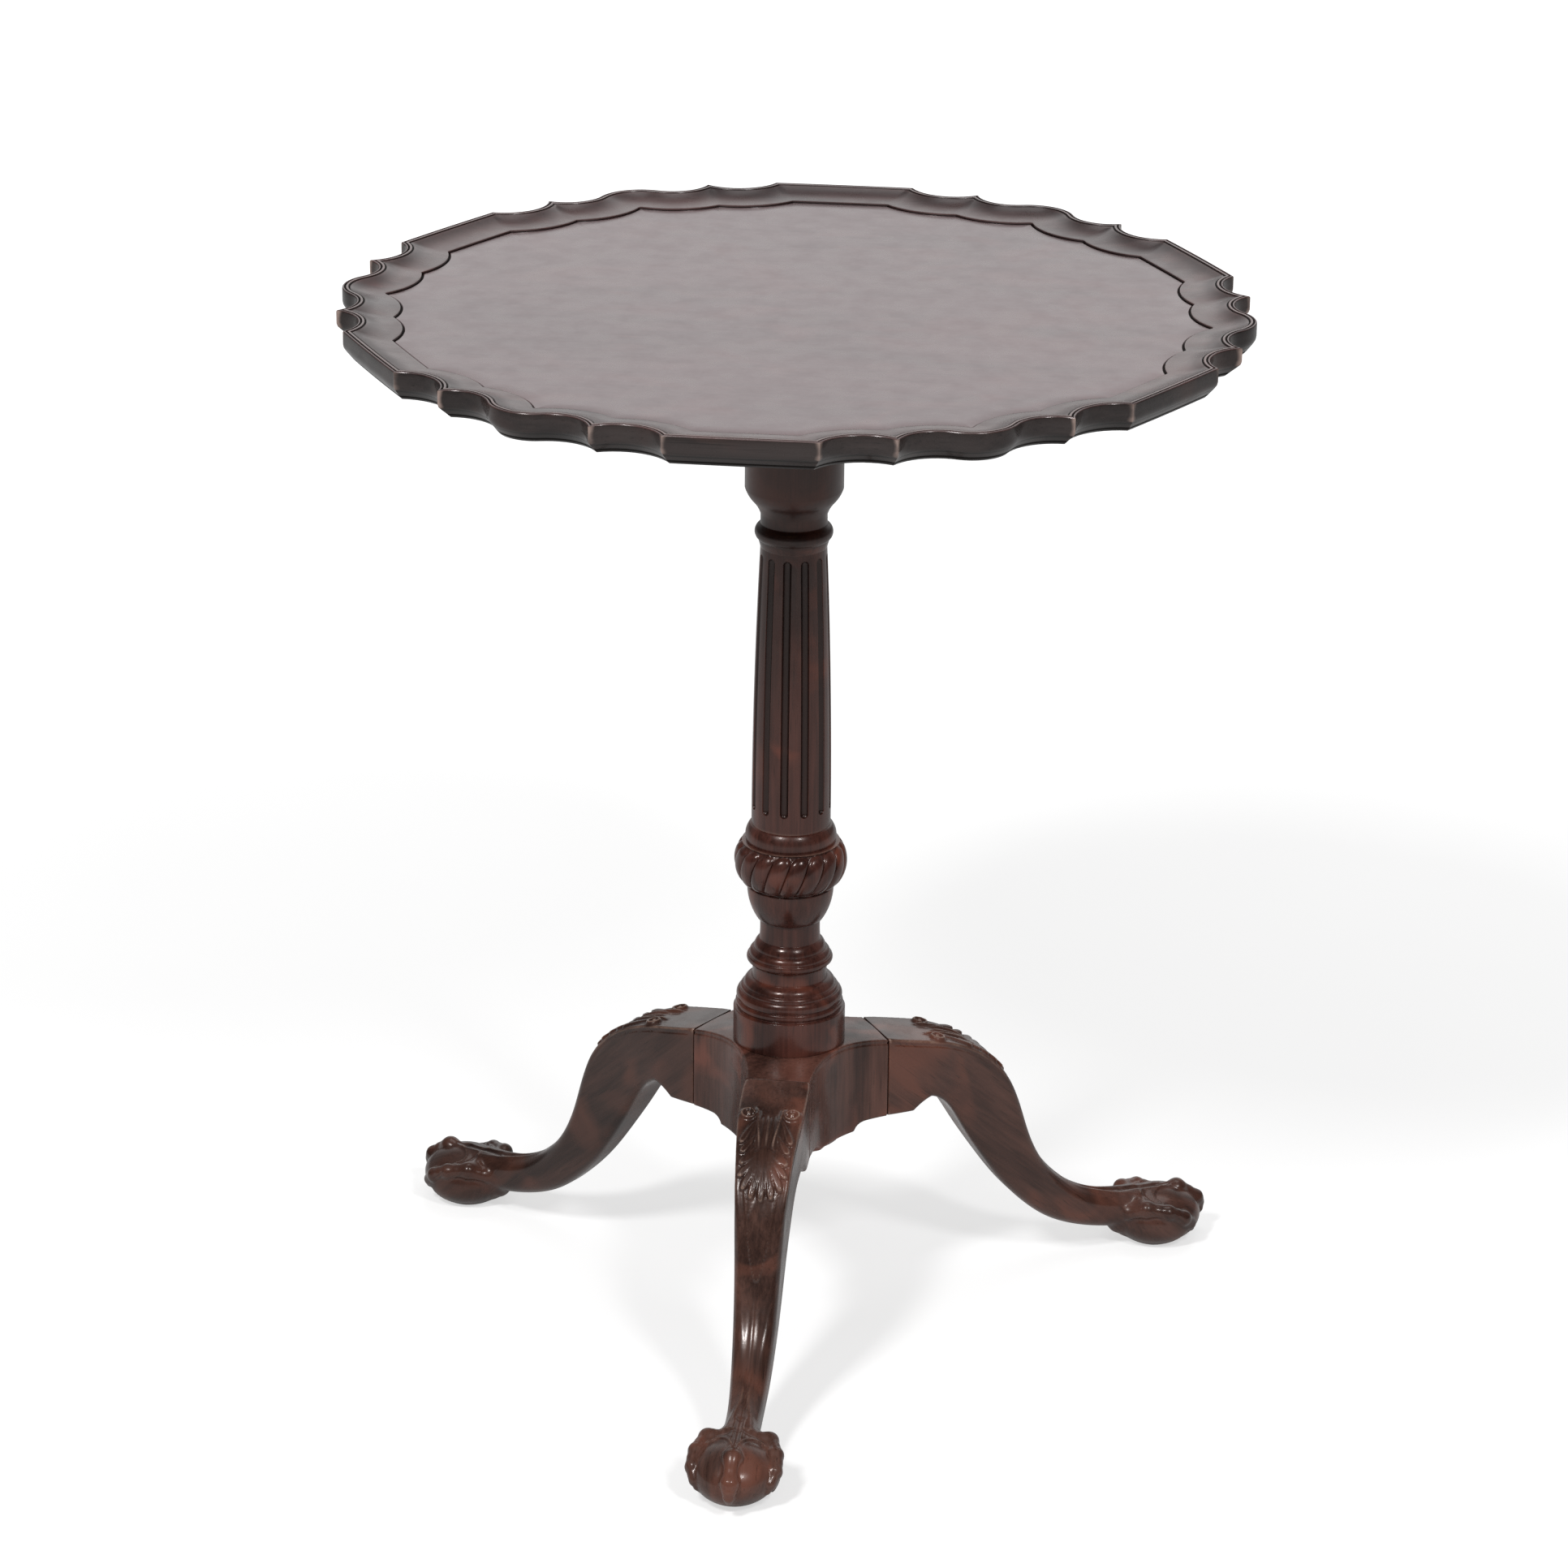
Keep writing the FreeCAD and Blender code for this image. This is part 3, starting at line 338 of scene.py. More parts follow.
BOARD_GRAIN = {"fibre": (9.0, 330.0, 330.0), "drift": (3.0, 16.0, 16.0)}
UNPOLISHED = {"fibre_share": 0.5, "coat": 0.0, "relief": 0.3}
PILLAR_WOOD = WoodFinish(
    "pillar_polish", Slot.BASE_WOOD, (0.026, 0.0094, 0.0074), (0.112, 0.0395, 0.0295), (0.182, 0.053, 0.032),
    (0.26, 0.16, 0.125), fibre=(420.0, 420.0, 14.0), drift=(28.0, 28.0, 5.0), specular=0.42,
    tint=(1.0, 0.86, 0.82))
HUB_WOOD = WoodFinish(
    "hub_polish", Slot.BASE_WOOD, (0.037, 0.0163, 0.0126), (0.153, 0.069, 0.052), (0.238, 0.081, 0.055),
    (0.26, 0.15, 0.115), fibre=(420.0, 420.0, 16.0), drift=(28.0, 28.0, 6.0), specular=0.34,
    tint=(1.0, 0.88, 0.84))
FRONT_LEG_WOOD = WoodFinish(
    "front_leg_polish", Slot.BASE_WOOD, (0.036, 0.0175, 0.0135), (0.145, 0.070, 0.053), (0.215, 0.080, 0.053),
    (0.38, 0.25, 0.195), grain=Grain.ATTRIBUTE, rub=(0.05, 0.18), specular=0.42, tint=(1.0, 0.92, 0.89))
# Painted shade: darker copies of the front leg's finish for the right and left legs, toned by how the light
# falls on each.
RIGHT_LEG_SHADED_WOOD = replace(
    FRONT_LEG_WOOD, name="right_leg_polish", dark=(0.031, 0.0142, 0.0108), light=(0.122, 0.054, 0.040),
    blush=(0.185, 0.066, 0.043))
LEFT_LEG_SHADED_WOOD = replace(
    FRONT_LEG_WOOD, name="left_leg_polish", dark=(0.021, 0.0102, 0.0080), light=(0.081, 0.039, 0.030),
    blush=(0.120, 0.047, 0.032))
TOP_WOOD = WoodFinish(
    "tray_polish", Slot.TOP_WOOD, (0.084, 0.039, 0.042), (0.119, 0.057, 0.061), (0.126, 0.053, 0.055),
    (0.30, 0.20, 0.165), **BOARD_GRAIN, roughness=(0.26, 0.36), coat=0.62, coat_roughness=0.2, specular=0.6,
    tint=(1.0, 0.97, 1.0), pores=0.22, relief=0.03)
# Painted shade: a darker, less glossy copy of the tray's finish for the cove.
COVE_SHADED_WOOD = WoodFinish(
    "cove_polish", Slot.TOP_WOOD, (0.037, 0.019, 0.019), (0.096, 0.050, 0.048), (0.104, 0.045, 0.042),
    (0.40, 0.29, 0.26), **BOARD_GRAIN, roughness=(0.24, 0.36), coat=0.3, coat_roughness=0.2, specular=0.5,
    tint=(1.0, 0.94, 0.94), relief=0.05)
# Painted shade: a darker copy of the tray's finish for the board's outer edge.
RIM_SHADED_WOOD = WoodFinish(
    "rim_polish", Slot.TOP_WOOD, (0.016, 0.012, 0.0115), (0.046, 0.034, 0.032), (0.058, 0.034, 0.030),
    (0.42, 0.31, 0.27), **BOARD_GRAIN, wear=0.95, rub=(0.08, 0.30), coat=0.16, specular=0.28,
    tint=(1.0, 0.98, 0.98))
# Painted shade: a near-black, matt copy of the tray's finish for the bottoms of the rim's lines.
LINE_SHADE_WOOD = WoodFinish(
    "rim_line_dirt", Slot.TOP_WOOD, (0.006, 0.004, 0.0036), (0.018, 0.011, 0.010), (0.024, 0.012, 0.010),
    (0.10, 0.07, 0.06), **BOARD_GRAIN, roughness=(0.5, 0.7), coat=0.0, specular=0.12, relief=0.05)
UNDER_WOOD = WoodFinish(
    "underside_stain", Slot.TOP_WOOD, (0.040, 0.020, 0.014), (0.115, 0.062, 0.042), (0.13, 0.058, 0.036),
    (0.2, 0.12, 0.085), **BOARD_GRAIN, **UNPOLISHED, roughness=(0.55, 0.75))
INNER_WOOD = WoodFinish(
    "bearer_stain", Slot.INNER_WOOD, (0.085, 0.040, 0.022), (0.24, 0.135, 0.08), (0.22, 0.105, 0.06),
    (0.36, 0.22, 0.14), fibre=(420.0, 15.0, 420.0), drift=(30.0, 6.0, 30.0), **UNPOLISHED,
    roughness=(0.5, 0.72))
BLOCK_WOOD = WoodFinish(
    "block_stain", Slot.INNER_WOOD, (0.075, 0.035, 0.020), (0.21, 0.115, 0.068), (0.2, 0.095, 0.052),
    (0.34, 0.2, 0.13), fibre=(15.0, 420.0, 420.0), drift=(6.0, 30.0, 30.0), **UNPOLISHED,
    roughness=(0.5, 0.72))
BRASS = MetalFinish("aged_brass", Slot.BRASS, (0.62, 0.44, 0.19), (0.34, 0.225, 0.095))
IRON = MetalFinish("forged_iron", Slot.IRON, (0.16, 0.15, 0.14), (0.05, 0.042, 0.036), (0.45, 0.7), 0.4)
STEEL = MetalFinish("blued_spring", Slot.SPRING_STEEL, (0.36, 0.38, 0.43), (0.13, 0.13, 0.17))


EASED_FROM = math.radians(22)
EASE_SHARE = 0.42
EASE_STEPS = (0.0, 0.33, 0.67, 1.0)


def link_object(name: str, data: bpy.types.ID) -> Piece:
    """Puts a mesh, camera or lamp into the scene."""
    made = bpy.data.objects.new(name, data)
    bpy.context.scene.collection.objects.link(made)
    return made


def smooth_mesh(mesh: bpy.types.Mesh, sharp: float) -> None:
    """Shades a mesh smoothly, with creases where edges bend by more degrees than sharp."""
    mesh.shade_smooth()
    mesh.set_sharp_from_angle(angle=math.radians(sharp))


def make_piece(name: str, points: Array, faces: Sequence, sharp: float = 40.0) -> Piece:
    """Makes a smooth-shaded object from points in millimetres."""
    mesh = bpy.data.meshes.new(name)
    mesh.from_pydata((np.asarray(points, float) * MM).tolist(), [], [list(map(int, f)) for f in faces])
    smooth_mesh(mesh, sharp)
    return link_object(name, mesh)


def rounded(outline: Sequence[Pair], ease: float) -> list[Pair]:
    """Rounds the corners of an open outline.

    Args:
        outline: the outline's points.
        ease: how far the rounding reaches from a corner.

    Returns:
        The rounded outline.
    """
    points = [np.array(p, float) for p in outline]
    out = [points[0]]
    for before, here, after in zip(points, points[1:], points[2:]):
        a, b = before - here, after - here
        la, lb = np.linalg.norm(a), np.linalg.norm(b)
        turn = math.pi - math.acos(float(np.clip(a @ b / (la * lb), -1, 1)))
        if turn < EASED_FROM:
            out.append(here)
            continue
        reach = min(ease, EASE_SHARE * la, EASE_SHARE * lb)
        start, end = here + a / la * reach, here + b / lb * reach
        for t in EASE_STEPS:
            out.append((1 - t) ** 2 * start + 2 * t * (1 - t) * here + t * t * end)
    out.append(points[-1])
    return [(float(p[0]), float(p[1])) for p in out]


def sweep(centre: Array, start: Array, swing: float, steps: int) -> list[Array]:
    """Turns a point about a centre in equal steps.

    Args:
        centre: middle of the arc.
        start: its first point.
        swing: the whole turn in radians.
        steps: number of steps.

    Returns:
        The points of the arc, with both ends.
    """
    arm = start - centre
    points = []
    for k in range(steps + 1):
        turn = swing * k / steps
        c, s = math.cos(turn), math.sin(turn)
        points.append(centre + np.array([arm[0] * c - arm[1] * s, arm[0] * s + arm[1] * c]))
    return points


def arc(centre: Array, start: Array, end: Array, steps: int) -> list[Array]:
    """Goes the shorter way round a centre from start to end."""
    a, b = start - centre, end - centre
    swing = math.atan2(a[0] * b[1] - a[1] * b[0], float(a @ b))
    return sweep(centre, start, swing, steps)


def lengths(run: Array) -> Array:
    """Length along a polyline at each of its points."""
    return np.concatenate([[0], np.cumsum(np.linalg.norm(np.diff(run, axis=0), axis=1))])


def bow(a: Pair, b: Pair, belly: float, steps: int) -> list[Pair]:
    """Draws an arc that swells to the right of its run.

    Args:
        a, b: its ends.
        belly: its height, below zero for a hollow.
        steps: number of steps.

    Returns:
        The points after a.
    """
    start, end = np.array(a, float), np.array(b, float)
    if abs(belly) < 1e-6:
        return [(float(end[0]), float(end[1]))]
    run = end - start
    length = np.linalg.norm(run)
    side = np.array([run[1], -run[0]]) / length
    radius = (length ** 2 / 4 + belly ** 2) / (2 * belly)
    centre = (start + end) / 2 + side * (belly - radius)
    swing = 2 * math.asin(max(-1.0, min(1.0, length / (2 * radius))))
    return [(float(x), float(y)) for x, y in sweep(centre, start, swing, steps)[1:]]


def lathe(outline: Sequence[Pair], steps: int) -> MeshData:
    """Turns an outline into a closed shell.

    Args:
        outline: points of radius and height, from the axis to the axis.
        steps: columns round the axis.

    Returns:
        Points and faces.
    """
    angles = np.arange(steps) * 2 * math.pi / steps
    plan = np.stack([np.cos(angles), np.sin(angles)], 1)
    points = [np.array([[0.0, 0.0, outline[0][1]]])]
    rings = outline[1:-1]
    for radius, height in rings:
        points.append(np.column_stack([radius * plan, np.full(steps, height)]))
    points.append(np.array([[0.0, 0.0, outline[-1][1]]]))
    faces: list[list[int]] = []
    last = 1 + steps * len(rings)
    for k in range(steps):
        n = (k + 1) % steps
        faces.append([0, 1 + n, 1 + k])
        for r in range(len(rings) - 1):
            low, high = 1 + r * steps, 1 + (r + 1) * steps
            faces.append([low + k, low + n, high + n, high + k])
        top = 1 + (len(rings) - 1) * steps
        faces.append([top + k, top + n, last])
    return np.concatenate(points), faces


def make_sector(name: str, rows: Sequence[Array], sharp: float = 40.0) -> Piece:
    """Skins rows of points and closes both ends with a fan to the Z axis.

    Args:
        name: the object's name.
        rows: equally long rows of points.
        sharp: least bend of a crease, in degrees.

    Returns:
        The sector, open on its two cut sides.
    """
    columns = len(rows[0])
    points = np.concatenate([*rows, np.array([[0, 0, rows[0][0, 2]], [0, 0, rows[-1][0, 2]]])])
    faces = []
    for r in range(len(rows) - 1):
        for c in range(columns - 1):
            a = r * columns + c
            faces.append([a, a + 1, a + columns + 1, a + columns])
    low, high = len(points) - 2, len(points) - 1
    end = (len(rows) - 1) * columns
    for c in range(columns - 1):
        faces.append([low, c + 1, c])
        faces.append([end + c, end + c + 1, high])
    return make_piece(name, points, faces, sharp)


def join_pieces(name: str, parts: Sequence[Piece], sharp: float) -> Piece:
    """Joins finished shells into one object and removes the parts.

    Args:
        name: the joined object's name.
        parts: the shells.
        sharp: least bend of a crease, in degrees.

    Returns:
        The joined object.
    """
    joined = bmesh.new()
    for part in parts:
        joined.from_mesh(part.data)
    mesh = bpy.data.meshes.new(name)
    joined.to_mesh(mesh)
    joined.free()
    smooth_mesh(mesh, sharp)
    for part in parts:
        bpy.data.objects.remove(part)
    return link_object(name, mesh)


def bake_modifiers(carrier: Piece, name: str) -> Piece:
    """Turns an object with modifiers into a plain one and removes it.

    Args:
        carrier: the object with its modifiers.
        name: the plain object's name.

    Returns:
        The plain object.
    """
    bpy.context.view_layer.update()
    graph = bpy.context.evaluated_depsgraph_get()
    mesh = bpy.data.meshes.new_from_object(carrier.evaluated_get(graph), depsgraph=graph)
    mesh.name = name
    carrier.modifiers.clear()
    bpy.data.objects.remove(carrier)
    return link_object(name, mesh)


def vertex_values(piece: Piece, name: str) -> Array:
    """Reads an attribute with one number for each vertex."""
    values = np.zeros(len(piece.data.vertices), np.float32)
    piece.data.attributes[name].data.foreach_get("value", values)
    return values


def note_edges(piece: Piece, spread: int) -> None:
    """Writes the attribute edge: above zero on arrises, where the finish shows wear, and below zero in
    recesses, where it paints shade.

    Args:
        piece: the object.
        spread: how often neighbouring values are averaged.
    """
    mesh = piece.data
    count = len(mesh.vertices)
    place = np.zeros(count * 3, np.float32)
    normal = np.zeros(count * 3, np.float32)
    mesh.vertices.foreach_get("co", place)
    mesh.vertex_normals.foreach_get("vector", normal)
    place, normal = place.reshape(-1, 3), normal.reshape(-1, 3)
    ends = np.zeros(len(mesh.edges) * 2, np.int32)
    mesh.edges.foreach_get("vertices", ends)
    a, b = ends.reshape(-1, 2).T
    run = place[b] - place[a]
    run /= np.maximum(np.linalg.norm(run, axis=1, keepdims=True), 1e-9)
    bend = np.zeros(count)
    near = np.zeros(count)
    for end, sign in ((a, -1), (b, 1)):
        np.add.at(bend, end, sign * np.einsum("ij,ij->i", run, normal[end]))
        np.add.at(near, end, 1)
    near = np.maximum(near, 1)
    bend /= near
    for _ in range(spread):
        total = np.zeros(count)
        np.add.at(total, a, bend[b])
        np.add.at(total, b, bend[a])
        bend = 0.5 * bend + 0.5 * total / near
    layer = mesh.attributes.new("edge", "FLOAT", "POINT")
    layer.data.foreach_set("value", bend.astype(np.float32))


def darken_points(piece: Piece, where: Array, depth: float = 0.2) -> None:
    """Marks points as a recess for the finish to darken: dirt along joints, painted shade or shadow
    elsewhere.
    """
    values = vertex_values(piece, "edge")
    values[where] = -depth
    piece.data.attributes["edge"].data.foreach_set("value", values)


def hand_over(piece: Piece, finish: Finish, body: Body, node: str) -> None:
    """Dresses a finished piece, puts it on its body and lets it stand for a CAD node.

    Args:
        piece: the finished object.
        finish: its surface.
        body: the body that it rides on.
        node: the CAD node that it replaces.
    """
    piece.data.materials.clear()
    piece.data.materials.append(finish.material())
    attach(piece, body.value)
    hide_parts(node)
    log.info("%s: %d faces on %s", piece.name, len(piece.data.polygons), body.value)


class NodeTrees:
    """Geometry Nodes trees for what repeats on the table."""

    def __init__(self) -> None:
        """Builds both trees."""
        self.ring = self._ring_of_copies()
        self.field = self._copies_on_points()

    @staticmethod
    def _start(name: str, inputs: dict[str, str]) -> tuple[NodeSheet, dict[str, Socket]]:
        """Makes a tree with geometry in and out and further inputs.

        Args:
            name: the tree's name.
            inputs: kind of each further input, by label.

        Returns:
            The tree's sheet and its inputs by label.
        """
        tree = bpy.data.node_groups.new(name, "GeometryNodeTree")
        for label, kind in {"Geometry": "Geometry", **inputs, "Material": "Material"}.items():
            tree.interface.new_socket(label, in_out="INPUT", socket_type="NodeSocket" + kind)
        tree.interface.new_socket("Geometry", in_out="OUTPUT", socket_type="NodeSocketGeometry")
        sheet = NodeSheet(tree)
        given = sheet.add("NodeGroupInput").outputs
        return sheet, {socket.name: socket for socket in given if socket.name}

    @staticmethod
    def _end(sheet: NodeSheet, given: dict[str, Socket], made: Socket) -> Tree:
        """Realizes the copies, welds them where asked, sets the material and ends the tree.

        Args:
            sheet: the tree's sheet.
            given: the tree's inputs by label.
            made: the instances.

        Returns:
            The finished tree.
        """
        made = sheet.add("GeometryNodeRealizeInstances", Geometry=made).outputs[0]
        if "Weld" in given:
            made = sheet.add("GeometryNodeMergeByDistance", Geometry=made, Distance=given["Weld"]).outputs[0]
        made = sheet.add("GeometryNodeSetMaterial", Geometry=made, Material=given["Material"]).outputs[0]
        sheet.add("NodeGroupOutput", Geometry=made)
        return sheet.tree

    def _ring_of_copies(self) -> Tree:
        """Builds the tree that sets equal copies of a sector round the Z axis and welds their seams.

        Returns:
            The tree.
        """
        sheet, given = self._start("ring_of_copies", {
            "Copies": "Int", "First Turn": "Float", "Weld": "Float"})
        points = sheet.add("GeometryNodePoints", Count=given["Copies"])
        number = sheet.add("GeometryNodeInputIndex")
        step = sheet.math("DIVIDE", 2 * math.pi, given["Copies"])
        turn = sheet.math("MULTIPLY_ADD", number.outputs[0], step, given["First Turn"])
        euler = sheet.add("ShaderNodeCombineXYZ", Z=turn)
        rotation = sheet.add("FunctionNodeEulerToRotation", Euler=euler.outputs[0])
        copies = sheet.add("GeometryNodeInstanceOnPoints", Points=points.outputs[0],
                           Instance=given["Geometry"], Rotation=rotation.outputs[0])
        return self._end(sheet, given, copies.outputs[0])

    def _copies_on_points(self) -> Tree:
        """Builds the tree that sets a fastener on every point, each turned about its own axis by chance.

        Returns:
            The tree.
        """
        sheet, given = self._start("fasteners_on_points", {
            "Fastener": "Object", "Axis": "Vector", "Seed": "Int"})
        info = sheet.add("GeometryNodeObjectInfo", Object=given["Fastener"])
        chance = sheet.add("FunctionNodeRandomValue", Seed=given["Seed"])
        chance.data_type = "FLOAT"
        chance.inputs[2].default_value = 0.0
        chance.inputs[3].default_value = math.pi
        turn = sheet.add("FunctionNodeAxisAngleToRotation", Axis=given["Axis"], Angle=chance.outputs[1])
        copies = sheet.add("GeometryNodeInstanceOnPoints", Points=given["Geometry"],
                           Instance=info.outputs["Geometry"], Rotation=turn.outputs[0])
        return self._end(sheet, given, copies.outputs[0])

    @staticmethod
    def bake(carrier: Piece, tree: Tree, name: str, values: dict[str, object]) -> Piece:
        """Runs a tree on an object and turns the result into a plain mesh.

        Args:
            carrier: object that gives the geometry; it is removed.
            tree: Geometry Nodes tree.
            name: name of the finished object.
            values: the tree's inputs by label.

        Returns:
            The finished object, with no modifier.
        """
        modifier = carrier.modifiers.new("copies", "NODES")
        modifier.node_group = tree
        for item in tree.interface.items_tree:
            if item.in_out == "INPUT" and item.name in values:
                modifier[item.identifier] = values[item.name]
        return bake_modifiers(carrier, name)


@dataclass
class TrayTop:
    """Round board with a scalloped raised rim, cut as one sixth and repeated."""
    reach: float = 295.0
    repeats: int = 6
    corner_inset: float = 0.6
    side_bow: float = 0.57
    cusp_inset: float = 0.9
    hollow_depth: float = 13.5
    side_half_angle: float = 9.3
    cusp_angle: float = 18.5
    flank_angle: float = 22.7
    height: float = 711.0
    thickness: float = 19.5
    edge_face: float = 10.0
    undercut: float = 6.5
    undercut_powers: Pair = (1.35, 0.86)
    undercut_steps: int = 8
    under_arris: tuple[Pair, ...] = ((6.0, 0.0), (0.9, 0.0), (0.25, 0.12))
    edge_points: tuple[Pair, ...] = ((0.02, 0.9), (0.0, 2.2), (0.0, 5.0))
    lip: float = 5.5
    lip_points: tuple[Pair, ...] = (
        (0.0, -1.1), (0.12, -0.55), (0.42, -0.17), (0.85, 0.0), (1.2, 0.0), (1.45, -0.7), (2.4, -0.7),
        (2.65, -0.02), (4.0, -0.02), (4.25, -0.6))
    lip_end: Pair = (0.3, 0.65)
    lip_drop: float = 0.8
    cove_start: Pair = (0.15, 0.35)
    cove_drop: float = 4.2
    cove_power: float = 2.3
    cove_steps: int = 12
    moulding: float = 27.6
    cove_end: Pair = (0.25, 0.1)
    field_step: float = 1.0
    field_points: tuple[Pair, ...] = ((0.4, -0.1), (0.7, -0.7), (1.5, -0.75), (2.0, -0.1), (2.4, 0.0))
    tip_radius: float = 1.0
    steps: tuple[int, int, int, int] = (14, 11, 11, 8)
    under_rings: tuple[float, ...] = (0.25, 0.5, 0.75, 0.92)
    field_rings: tuple[float, ...] = (0.95, 0.85, 0.7, 0.5, 0.3, 0.15)
    crease: float = 30.0
    outer_line: Pair = (1.3, 2.5)
    inner_line: float = 4.1
    field_line: Pair = (0.3, 1.9)
    line_shade: float = 0.4
    cove_shade: float = 0.28
    cove_shade_reach: float = 0.7
    shaded_from: float = 0.36
    under_tilt: float = -0.97
    edge_tilt: float = 0.3
    circles: list[tuple[Array, float]] = field(default_factory=list)

    @staticmethod
    def polar(reach: float, degrees: float) -> Array:
        """A place in plan by its distance and direction."""
        return reach * np.array([math.cos(math.radians(degrees)), math.sin(math.radians(degrees))])

    @staticmethod
    def circle(a: Array, b: Array, c: Array) -> tuple[Array, float]:
        """Finds the circle through three points."""
        rows = np.array([b - a, c - a])
        right = 0.5 * np.array([b @ b - a @ a, c @ c - a @ a])
        centre = np.linalg.solve(rows, right)
        return centre, float(np.linalg.norm(a - centre))

    @staticmethod
    def crossing(c1: Array, r1: float, c2: Array, r2: float, near: Array) -> Array:
        """Finds where two circles cross.

        Args:
            c1, r1: centre and radius of the first.
            c2, r2: centre and radius of the second.
            near: point that picks one of the two crossings.

        Returns:
            The nearer crossing.
        """
        gap = c2 - c1
        span = float(np.linalg.norm(gap))
        along = (span ** 2 + r1 ** 2 - r2 ** 2) / (2 * span)
        height = math.sqrt(max(r1 ** 2 - along ** 2, 0.0))
        unit = gap / span
        side = np.array([-unit[1], unit[0]]) * height
        options = (c1 + unit * along + side, c1 + unit * along - side)
        return min(options, key=lambda p: float(np.linalg.norm(p - near)))

    def set_out(self) -> None:
        """Finds the circles of a long side, a hollow, the bump's flank and the bump."""
        floor = self.reach - self.hollow_depth
        corner = self.polar(self.reach - self.corner_inset, self.side_half_angle)
        cusp = self.polar(self.reach - self.cusp_inset, self.cusp_angle)
        side = self.circle(corner * (1, -1), np.array([corner[0] + self.side_bow, 0.0]), corner)
        middle = (self.side_half_angle + self.cusp_angle) / 2
        hollow = self.circle(corner, self.polar(floor, middle), cusp)
        tip = self.reach - self.cusp_inset
        lean = 1 - math.cos(math.radians(self.flank_angle - self.cusp_angle))
        flank = ((tip - floor) ** 2 + 2 * floor * tip * lean) / (2 * (tip - floor) - 2 * tip * lean)
        spread = 1 - math.cos(math.radians(180.0 / self.repeats - self.flank_angle))
        out = floor + flank
        over = out - self.reach
        bump = ((over ** 2 + 2 * out * self.reach * spread - flank ** 2)
                / (2 * flank - 2 * over + 2 * out * spread))
        self.circles = [side, hollow, (self.polar(out, self.flank_angle), flank), (np.zeros(2), bump)]

    def outline(self, inset: float) -> Array:
        """Draws one sixth of the rim, from bump to bump with the long side in the middle.

        Args:
            inset: how far the outline is moved inward.

        Returns:
            The outline's points in plan.
        """
        (side_c, side_r), (hollow_c, hollow_r), (flank_c, flank_r), (_, bump_r) = self.circles
        corner = self.crossing(side_c, side_r - inset, hollow_c, hollow_r + inset,
                               self.polar(self.reach, self.side_half_angle))
        cusp = self.crossing(hollow_c, hollow_r + inset, flank_c, flank_r + inset,
                             self.polar(self.reach, self.cusp_angle))
        outward = self.polar(1.0, 180.0 / self.repeats)
        tip_r = max(bump_r - inset, self.tip_radius)
        along = float(flank_c @ outward)
        across = float(np.linalg.norm(flank_c - outward * along))
        tip_c = outward * (along - math.sqrt((flank_r + inset + tip_r) ** 2 - across ** 2))
        join = tip_c + (flank_c - tip_c) / np.linalg.norm(flank_c - tip_c) * tip_r
        middle = np.array([side_c[0] + side_r - inset, 0.0])
        runs = ((middle, corner, side_c), (corner, cusp, hollow_c), (cusp, join, flank_c),
                (join, tip_c + outward * tip_r, tip_c))
        half = [middle]
        for (start, end, centre), steps in zip(runs, self.steps):
            half += arc(centre, start, end, steps)[1:]
        upper = np.array(half)
        return np.concatenate([upper[:0:-1] * (1, -1), upper])

    def section(self) -> list[Pair]:
        """Draws the rim's section from the underside over the edge to the field.

        Returns:
            Points of inset and height.
        """
        top, under = self.height, self.height - self.thickness
        foot = top - self.edge_face
        run = [(self.undercut + inset, under + rise) for inset, rise in self.under_arris]
        for k in range(1, self.undercut_steps):
            t = k / self.undercut_steps
            run.append((self.undercut * (1 - t) ** self.undercut_powers[0],
                        under + (foot - under) * (t ** self.undercut_powers[1])))
        run += [(inset, foot + rise) for inset, rise in self.edge_points]
        run += [(inset, top + rise) for inset, rise in self.lip_points]
        run.append((self.lip - self.lip_end[0], top - self.lip_end[1]))
        start = top - self.lip_drop
        inset, rise = self.cove_start
        for k in range(self.cove_steps + 1):
            u = k / self.cove_steps
            run.append((self.lip + inset + (self.moulding - self.lip - inset) * u,
                        start + rise - (self.cove_drop + rise) * (1 - (1 - u) ** self.cove_power)))
        low = start - self.cove_drop
        floor = low - self.field_step
        run.append((self.moulding + self.cove_end[0], low - self.cove_end[1]))
        return run + [(self.moulding + inset, floor + rise) for inset, rise in self.field_points]

    def shade(self, inset: float) -> float:
        """Tells how much painted shade the rim gets: in its lines, and below the lip in the cove.

        Args:
            inset: place on the section.

        Returns:
            Zero, or a negative value as for a recess.
        """
        lines = (self.outer_line, (self.inner_line, self.lip),
                 (self.moulding + self.field_line[0], self.moulding + self.field_line[1]))
        if any(low < inset < high for low, high in lines):
            return -self.line_shade
        width = self.moulding - self.lip
        if self.lip <= inset < self.moulding:
            return -self.cove_shade * max(0.0, 1 - (inset - self.lip) / (self.cove_shade_reach * width))
        return 0.0

    def sort_faces(self, board: Piece, shade: Array) -> None:
        """Gives each face of the board its finish.

        Args:
            board: the board, with its materials in the order of TrayFace.
            shade: dirt at each vertex.
        """
        shaded = shade < -self.shaded_from
        floor = (self.height - self.lip_drop - self.cove_drop - self.field_step + 0.02) * MM
        for face in board.data.polygons:
            outward = face.normal.x * face.center.x + face.normal.y * face.center.y
            kind = TrayFace.FIELD
            # Faces wholly in the shaded lines get the near-black painted-shade finish.
            if all(shaded[k] for k in face.vertices):
                kind = TrayFace.LINE
            elif face.normal.z < self.under_tilt:
                kind = TrayFace.UNDERSIDE
            elif face.normal.z < self.edge_tilt and outward > 0:
                kind = TrayFace.EDGE
            elif face.center.z > floor:
                kind = TrayFace.COVE
            face.material_index = kind

